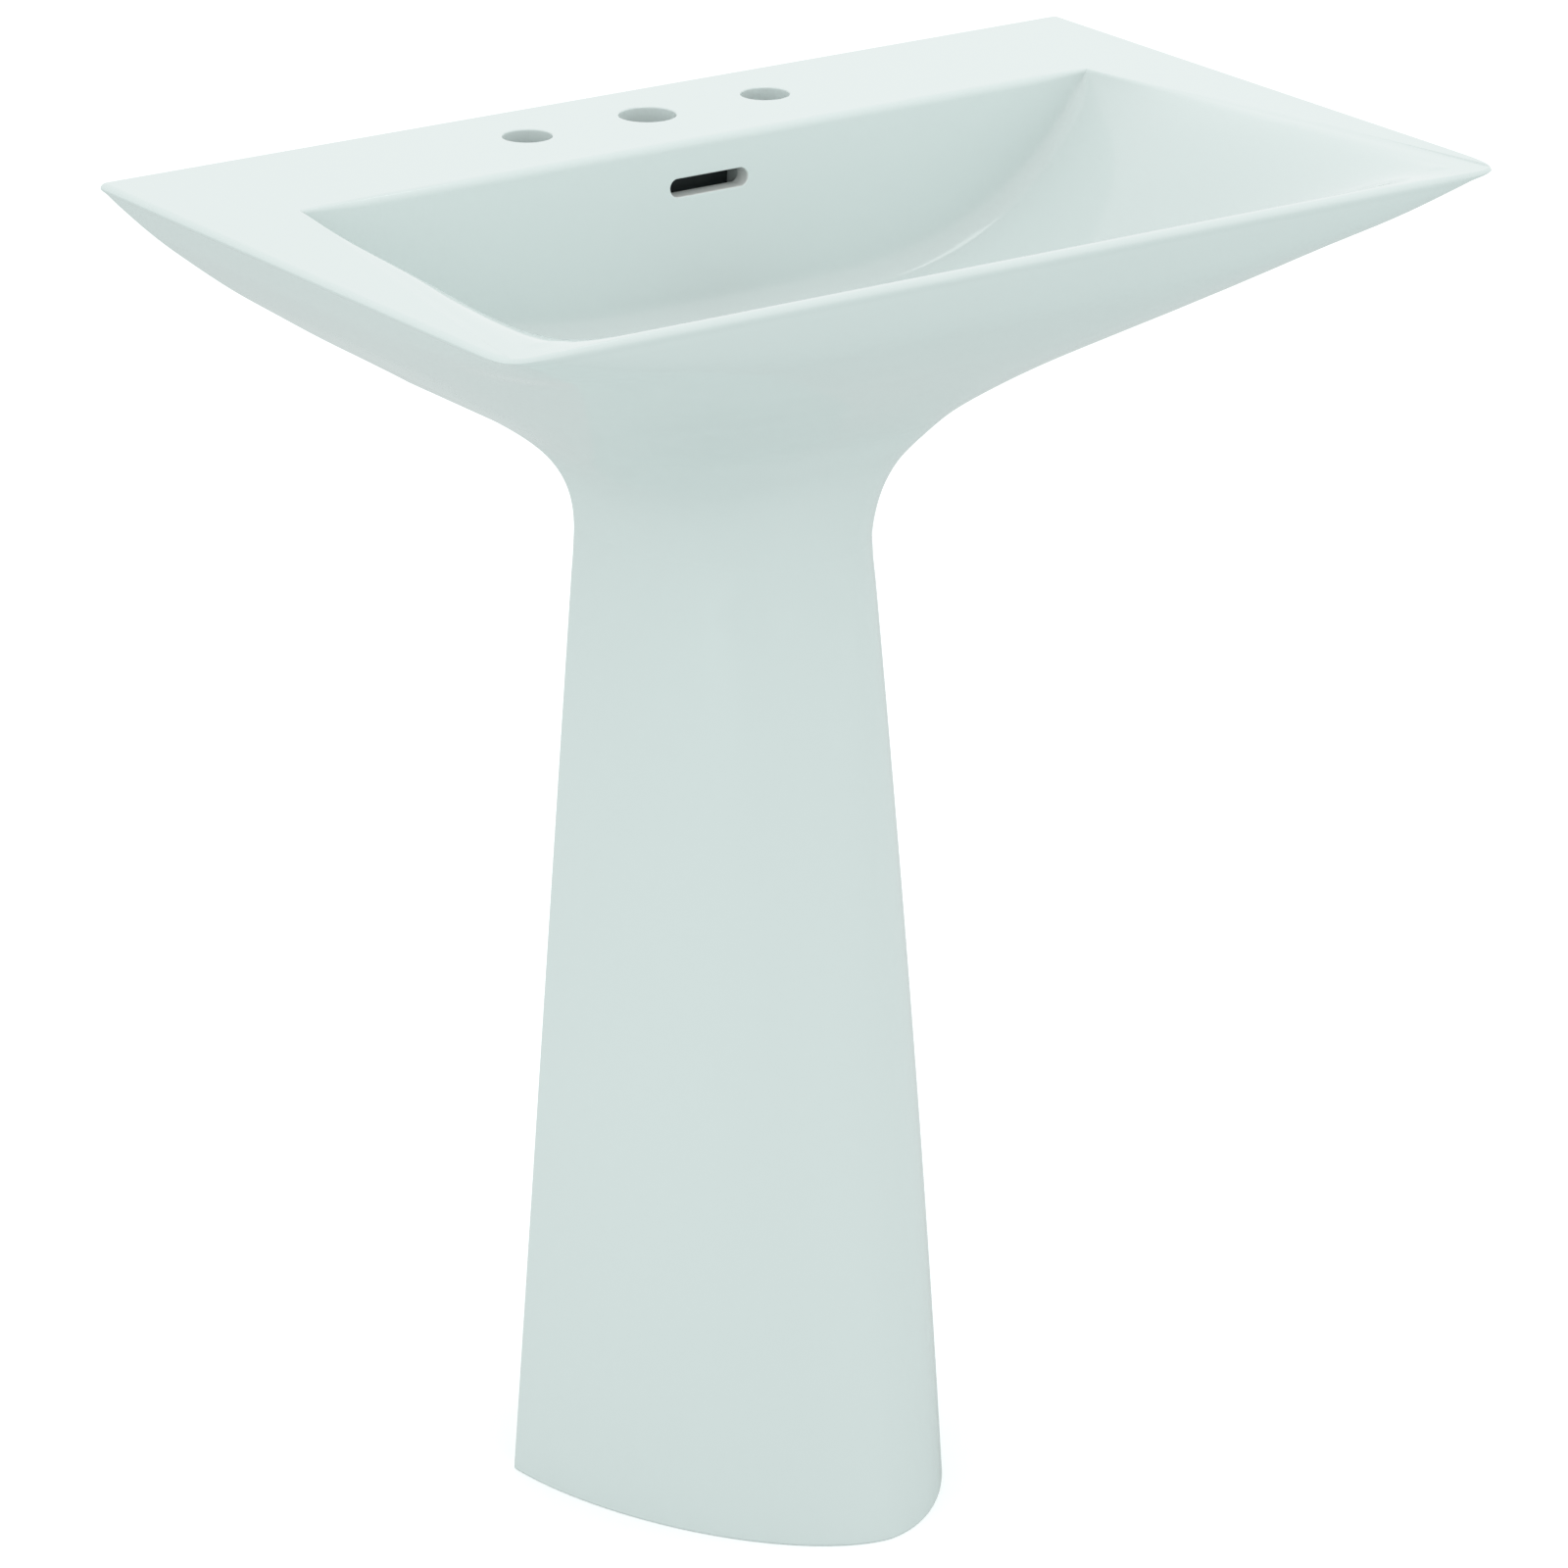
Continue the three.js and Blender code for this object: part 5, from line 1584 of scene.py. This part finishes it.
trap = {
    "tube": 16.0,
    "tubeBore": 14.8,
    "pass": 16.3,
    "collarHeight": 3,
    "nutLip": 3,
    "nutLead": 0.6,
    "leadPast": 0.1,  # how far a lead is moved along the nut
    "clear": 3,  # how far the head's cutters run past it
    "neck": 22.0,
    "neckHeight": 20,
    "wall": 3.5,
    "fit": 0.3,
    "spigot": 29.0,
    "spigotHeight": 12,
    "stub": 20.0,
    "shoulder": 6.0,
    "cupWallRadius": 32.0,
    "collarDepth": 16,
    "cupFoot": 3,
    "cupEdge": 9.0,
    "cupRing": (10, 12),  # radii of the step under its foot
    "cupHollow": 1.2,
    "sealHeight": 2.4,
    "grip": 0.8,  # how far the collar stands back behind its ribs
    "ribs": 36,
    "ribRadius": 0.9,
    "ribShort": 4,
    "rosetteSheet": 1.4,
    "rosetteSleeve": (2.5, 1.6),
    "rosetteBrim": (4, 5, 1.2),
    "rosetteRise": (3.2, 4.6),
    # node: axis, across flats, thread bore, which end has the lip
    "nuts": {
        "coupling_nut": ("drain", 50, 21.1, "low"),
        "inlet_nut": ("drain", 52, 22.3, "high"),
        "outlet_nut": ("outlet", 48, 20.3, "high"),
    },
    # node: axis, radius at the end that goes into the mouth
    "wedgeSeals": {"inlet_seal": ("drain", 21.7), "outlet_seal": ("outlet", 19.7)},
}


def makeInletTube():
    radius, low, high = nodeSpan("inlet_tube")
    under = high - trap["collarHeight"]
    turnedPiece("inlet_tube", "chrome", [
        (trap["tubeBore"], low, 0.3),
        (trap["tube"], low, 0.3),
        (trap["tube"], under, 0.8),
        (radius, under, 0.8),
        (radius, high, 0.8),
        (trap["tubeBore"], high, 0.5),
    ])


def makeSlipNut(node, axis, acrossFlats, mouth, lipEnd):
    low, high = nodeSpan(node, axis)[1:]
    through, lip = trap["pass"], high - trap["nutLip"]
    lead, past = trap["nutLead"], trap["leadPast"]
    start, end = low - overshoot, high + overshoot
    bore = [
        (0, start, 0),
        (mouth + lead, start, 0),
        (mouth + lead, low + past, 0),
        (mouth, low + past + lead, 0),
        (mouth, lip, 0.3),
        (through, lip, 0.3),
        (through, high - lead, 0.2),
        (through + lead, high + past, 0),
        (through + lead, end, 0),
        (0, end, 0),
    ]
    if lipEnd == "low":
        bore = [(r, low + high - level, ease) for r, level, ease in bore[::-1]]
    present(hexMesh(node, acrossFlats, low, high, bore), node, "chrome", axis)


def makeWedgeSeal(node, axis, mouth):
    radius, low, high = nodeSpan(node, axis)
    through = trap["pass"]
    corners = [(through, low, 0.5), (mouth, low, 0.5), (radius, high, 0.8), (through, high, 0.5)]
    turnedPiece(node, "rubber", corners, axis=axis)


def makeTrapHead():
    size, clear = trap, trap["clear"]
    radius, low, high = nodeSpan("trap_head")
    top, bottom = high - size["neckHeight"], low + size["spigotHeight"]
    head = turnedMesh("head", [
        (0, low, 0),
        (size["spigot"], low, 0.8),
        (size["spigot"], bottom, 0.3),
        (radius, bottom, 1.0),
        (radius, top, size["shoulder"]),
        (size["neck"], top, 2.0),
        (size["neck"], high, 0.8),
        (0, high, 0),
    ], 112, False)
    start, end = -bowl["drainSetback"], nodeSpan("outlet_seal", "outlet")[1] + size["fit"]
    outer = [(0, start, 0), (size["stub"], start, 0), (size["stub"], end, 0.8), (0, end, 0)]
    stub = turnedMesh("stub", outer, closed=False)
    bore = turnedMesh("outletBore", rodCorners(size["pass"], start, end + clear), closed=False)
    for piece in (stub, bore):
        piece.data.transform(axes["drain"].inverted() @ axes["outlet"])
    carve(head, [stub], "UNION")
    inner, ceiling = radius - size["wall"], top - size["wall"]
    chamber = turnedMesh("chamber", [
        (0, low - clear, 0),
        (inner, low - clear, 0),
        (inner, ceiling, 4.0),
        (size["pass"], ceiling, 0.6),
        (size["pass"], high + clear, 0),
        (0, high + clear, 0),
    ], 112, False)
    carve(head, [chamber, bore])
    present(head, "trap_head", "chrome")


def makeTrapCup():
    size, fit = trap, trap["fit"]
    radius, low, high = nodeSpan("trap_cup")
    body, mouth, rim = size["cupWallRadius"], size["spigot"] + fit, radius - size["grip"]
    inner = mouth - size["wall"]
    ledge = high + fit - size["spigotHeight"] - 2 * fit - size["sealHeight"]
    collar, foot = high - size["collarDepth"], low + size["cupFoot"]
    hollow, (small, large) = low + size["cupHollow"], size["cupRing"]
    cup = turnedMesh("cup", [
        (0, hollow, 0),
        (small, hollow, 0.8),
        (large, low, 0.8),
        (body, low, size["cupEdge"]),
        (body, collar, 0.8),
        (rim, collar, 0.8),
        (rim, high, 0.8),
        (mouth, high, 0.4),
        (mouth, ledge, 0.2),
        (inner, ledge, 0.4),
        (inner, foot, size["cupEdge"] - 2),
        (0, foot, 0),
    ], 128, False)
    ribs = {
        "radius": radius - size["ribRadius"],
        "count": size["ribs"],
        "ribRadius": size["ribRadius"],
        "ribHeight": size["collarDepth"] - size["ribShort"],
        "middle": mix(collar, high, 0.5),
    }
    present(joined(cup, [wound("ribs", "chrome", **ribs)]), "trap_cup", "chrome")


def makeRosette():
    radius, low, high = nodeSpan("wall_rosette", "outlet")
    through, sheet = trap["pass"], trap["rosetteSheet"]
    (sleeve, throat), (brim, inside, edge) = trap["rosetteSleeve"], trap["rosetteBrim"]
    outer, inner = [low + rise for rise in trap["rosetteRise"]]
    turnedPiece("wall_rosette", "chrome", [
        (through, low, 0.3),
        (through + sleeve, low, 1.2),
        (radius - brim, outer, 2.5),
        (radius, high - sheet, 0.5),
        (radius, high, 0.3),
        (radius - edge, high, 0.3),
        (radius - inside, inner, 2.0),
        (through + throat, low + sheet, 0.6),
        (through, low + sheet, 0.1),
    ], 112, axis="outlet")


makeInletTube()
for node, nut in trap["nuts"].items():
    makeSlipNut(node, *nut)
for node, seal in trap["wedgeSeals"].items():
    makeWedgeSeal(node, *seal)
makeTrapHead()
makeTrapCup()
makeRosette()
print("trap made")

# The wall fixings

fixing = {
    "bore": 5.3,
    "core": 0.5,  # how deep the threads are cut
    "chamfer": 1.0,
    # margin from the end, length, pitch, ridge, and how far its middle is out from or sunk in the core
    "frontThread": {"margin": 1, "length": 32, "pitch": 1.5, "ridge": 0.42, "out": 0.05},
    "wallThread": {"length": 44, "pitch": 3.6, "ridge": 0.8, "sunk": 0.35},
    "threadSteps": 24,
    "tipLength": 12,
    "tipRadius": 1.2,
    "flange": 3.0,
    "bushRadius": 8.7,
    "nutAcrossFlats": 17,
    "nutLead": 0.5,
    "mouth": 1.5,
    "groove": 0.9,
    "grooves": 5,
}


def makeBolt(side):
    size, front, wall = fixing, fixing["frontThread"], fixing["wallThread"]
    radius, low, high = nodeSpan(f"hanger_bolt_{side}", side)
    core, shoulder = radius - size["core"], high - size["tipLength"]
    bolt = turnedMesh("bolt", [
        (0, low, 0),
        (core - size["chamfer"], low, 0.2),
        (core, low + size["chamfer"], 0.2),
        (core, shoulder, 1.0),
        (size["tipRadius"], high - 1, 0.6),
        (0, high, 0),
    ], 48, False)
    # where each thread starts and its middle radius
    ends = (
        (front, low + front["margin"], core + front["out"]),
        (wall, shoulder - wall["length"], core - wall["sunk"]),
    )
    threads = [
        thread("steel", middle, kind["pitch"], start, kind["length"], kind["ridge"], size["threadSteps"])
        for kind, start, middle in ends
    ]
    present(joined(bolt, threads), f"hanger_bolt_{side}", "steel", side)


def makeWallPlug(side):
    size, node = fixing, f"wall_plug_{side}"
    radius, low, high = nodeSpan(node, side)
    inner = radius - size["groove"]
    corners = [(size["bore"], low, 0.3), (radius, low, 0.3)]
    pitch = (high - low - 2 * size["mouth"]) / size["grooves"]
    for i in range(size["grooves"]):
        start = low + size["mouth"] + i * pitch
        middle = start + pitch / 2
        corners += [(radius, middle, 0.3), (inner, middle, 0.2), (radius, start + pitch, 0.4)]
    corners += [(inner, high, 0.3), (size["bore"], high, 0.3)]
    turnedPiece(node, "greyPlastic", corners, 48, axis=side)


def makeBush(side):
    size, node = fixing, f"bolt_bush_{side}"
    radius, low, high = nodeSpan(node, side)
    flange = low + size["flange"]
    turnedPiece(node, "nylon", [
        (size["bore"], low, 0.4),
        (radius, low, 0.8),
        (radius, flange, 0.5),
        (size["bushRadius"], flange, 0.5),
        (size["bushRadius"], high, 0.6),
        (size["bore"], high, 0.3),
    ], 72, axis=side)


def makeBoltNut(side):
    low, high = nodeSpan(f"bolt_nut_{side}", side)[1:]
    bore = boreCorners(fixing["bore"], low, high, fixing["nutLead"])
    nut = hexMesh("nut", fixing["nutAcrossFlats"], low, high, bore)
    present(nut, f"bolt_nut_{side}", "steel", side)


for side in ("left", "right"):
    for make in (makeBolt, makeWallPlug, makeBush, makeBoltNut):
        make(side)
print("wall fixings made")

# Light, floor and background

studio = {
    "worldLevel": 0.95,
    "floorColour": (0.715, 0.765, 0.76, 1),
    "floorShade": (0.63, 0.68, 0.672, 1),  # what the glaze and the metal mirror of the floor
    "floorLift": 0.42,  # what the camera sees of the floor is raised to white, shadows stay
    "floorRoughness": 0.9,
    "floorHalf": 7.0,
    # place, aim, width and height, power
    "lights": {
        "topBox": ((0.5, 0.3, 2.8), (0, 0, 0.8), (0.7, 0.7), 3),
        "leftBox": ((-3.6, -1.2, 1.2), (0, 0, 0.5), (1.4, 2.6), 14),
        "rightBox": ((3.2, -2.6, 1.8), (0, 0, 0.5), (1.6, 2.4), 13),
    },
}


def softLight(name, place, aim, size, power):
    data = bpy.data.lights.new(name, "AREA")
    data.shape = "RECTANGLE"
    data.size, data.size_y = size
    data.energy = power
    light = linked(name, data)
    light.location = place
    light.rotation_euler = (Vector(aim) - Vector(place)).to_track_quat("-Z", "Y").to_euler()
    light.visible_glossy = name == "topBox"


def plainRays(tree):
    # Above zero for rays that should meet the plain white background.
    rays = tree.nodes.new("ShaderNodeLightPath")
    seen = calc(tree, "MAXIMUM", rays.outputs["Is Camera Ray"], rays.outputs["Is Glossy Ray"])
    return calc(tree, "MAXIMUM", seen, rays.outputs["Is Transmission Ray"])


def makeWorld():
    world = bpy.data.worlds.new("studio")
    world.use_nodes = True
    tree = world.node_tree
    tree.nodes.clear()
    soft, plain = [
        addNode(tree, "ShaderNodeBackground", {"Color": (1, 1, 1, 1), "Strength": level}).outputs[0]
        for level in (studio["worldLevel"], 1.0)
    ]
    both = addNode(tree, "ShaderNodeMixShader", {0: plainRays(tree), 1: soft, 2: plain})
    addNode(tree, "ShaderNodeOutputWorld", {"Surface": both.outputs[0]})
    bpy.context.scene.world = world


def makeFloor():
    half = studio["floorHalf"] / mm
    corners = [(-half, -half, 0), (half, -half, 0), (half, half, 0), (-half, half, 0)]
    made = meshObject("floor", corners, [(0, 1, 2, 3)])
    material = bpy.data.materials.new("paleFloor")
    material.use_nodes = True
    tree = material.node_tree
    shader = tree.nodes["Principled BSDF"]
    rays = addNode(tree, "ShaderNodeLightPath").outputs
    colour = mixedColour(tree, rays["Is Glossy Ray"], studio["floorColour"], studio["floorShade"])
    joinTo(tree, colour, shader.inputs["Base Color"])
    shader.inputs["Roughness"].default_value = studio["floorRoughness"]
    shader.inputs["Specular IOR Level"].default_value = 0.0
    lift = addNode(tree, "ShaderNodeEmission", {"Strength": studio["floorLift"]}).outputs[0]
    lifted = addNode(tree, "ShaderNodeAddShader", {0: shader.outputs[0], 1: lift}).outputs[0]
    inputs = {0: rays["Is Camera Ray"], 1: shader.outputs[0], 2: lifted}
    both = addNode(tree, "ShaderNodeMixShader", inputs).outputs[0]
    joinTo(tree, both, tree.nodes["Material Output"].inputs["Surface"])
    made.data.materials.append(material)


for name, light in studio["lights"].items():
    softLight(name, *light)
makeFloor()
makeWorld()
bpy.context.scene.view_settings.view_transform = "Standard"

print("scene finished")
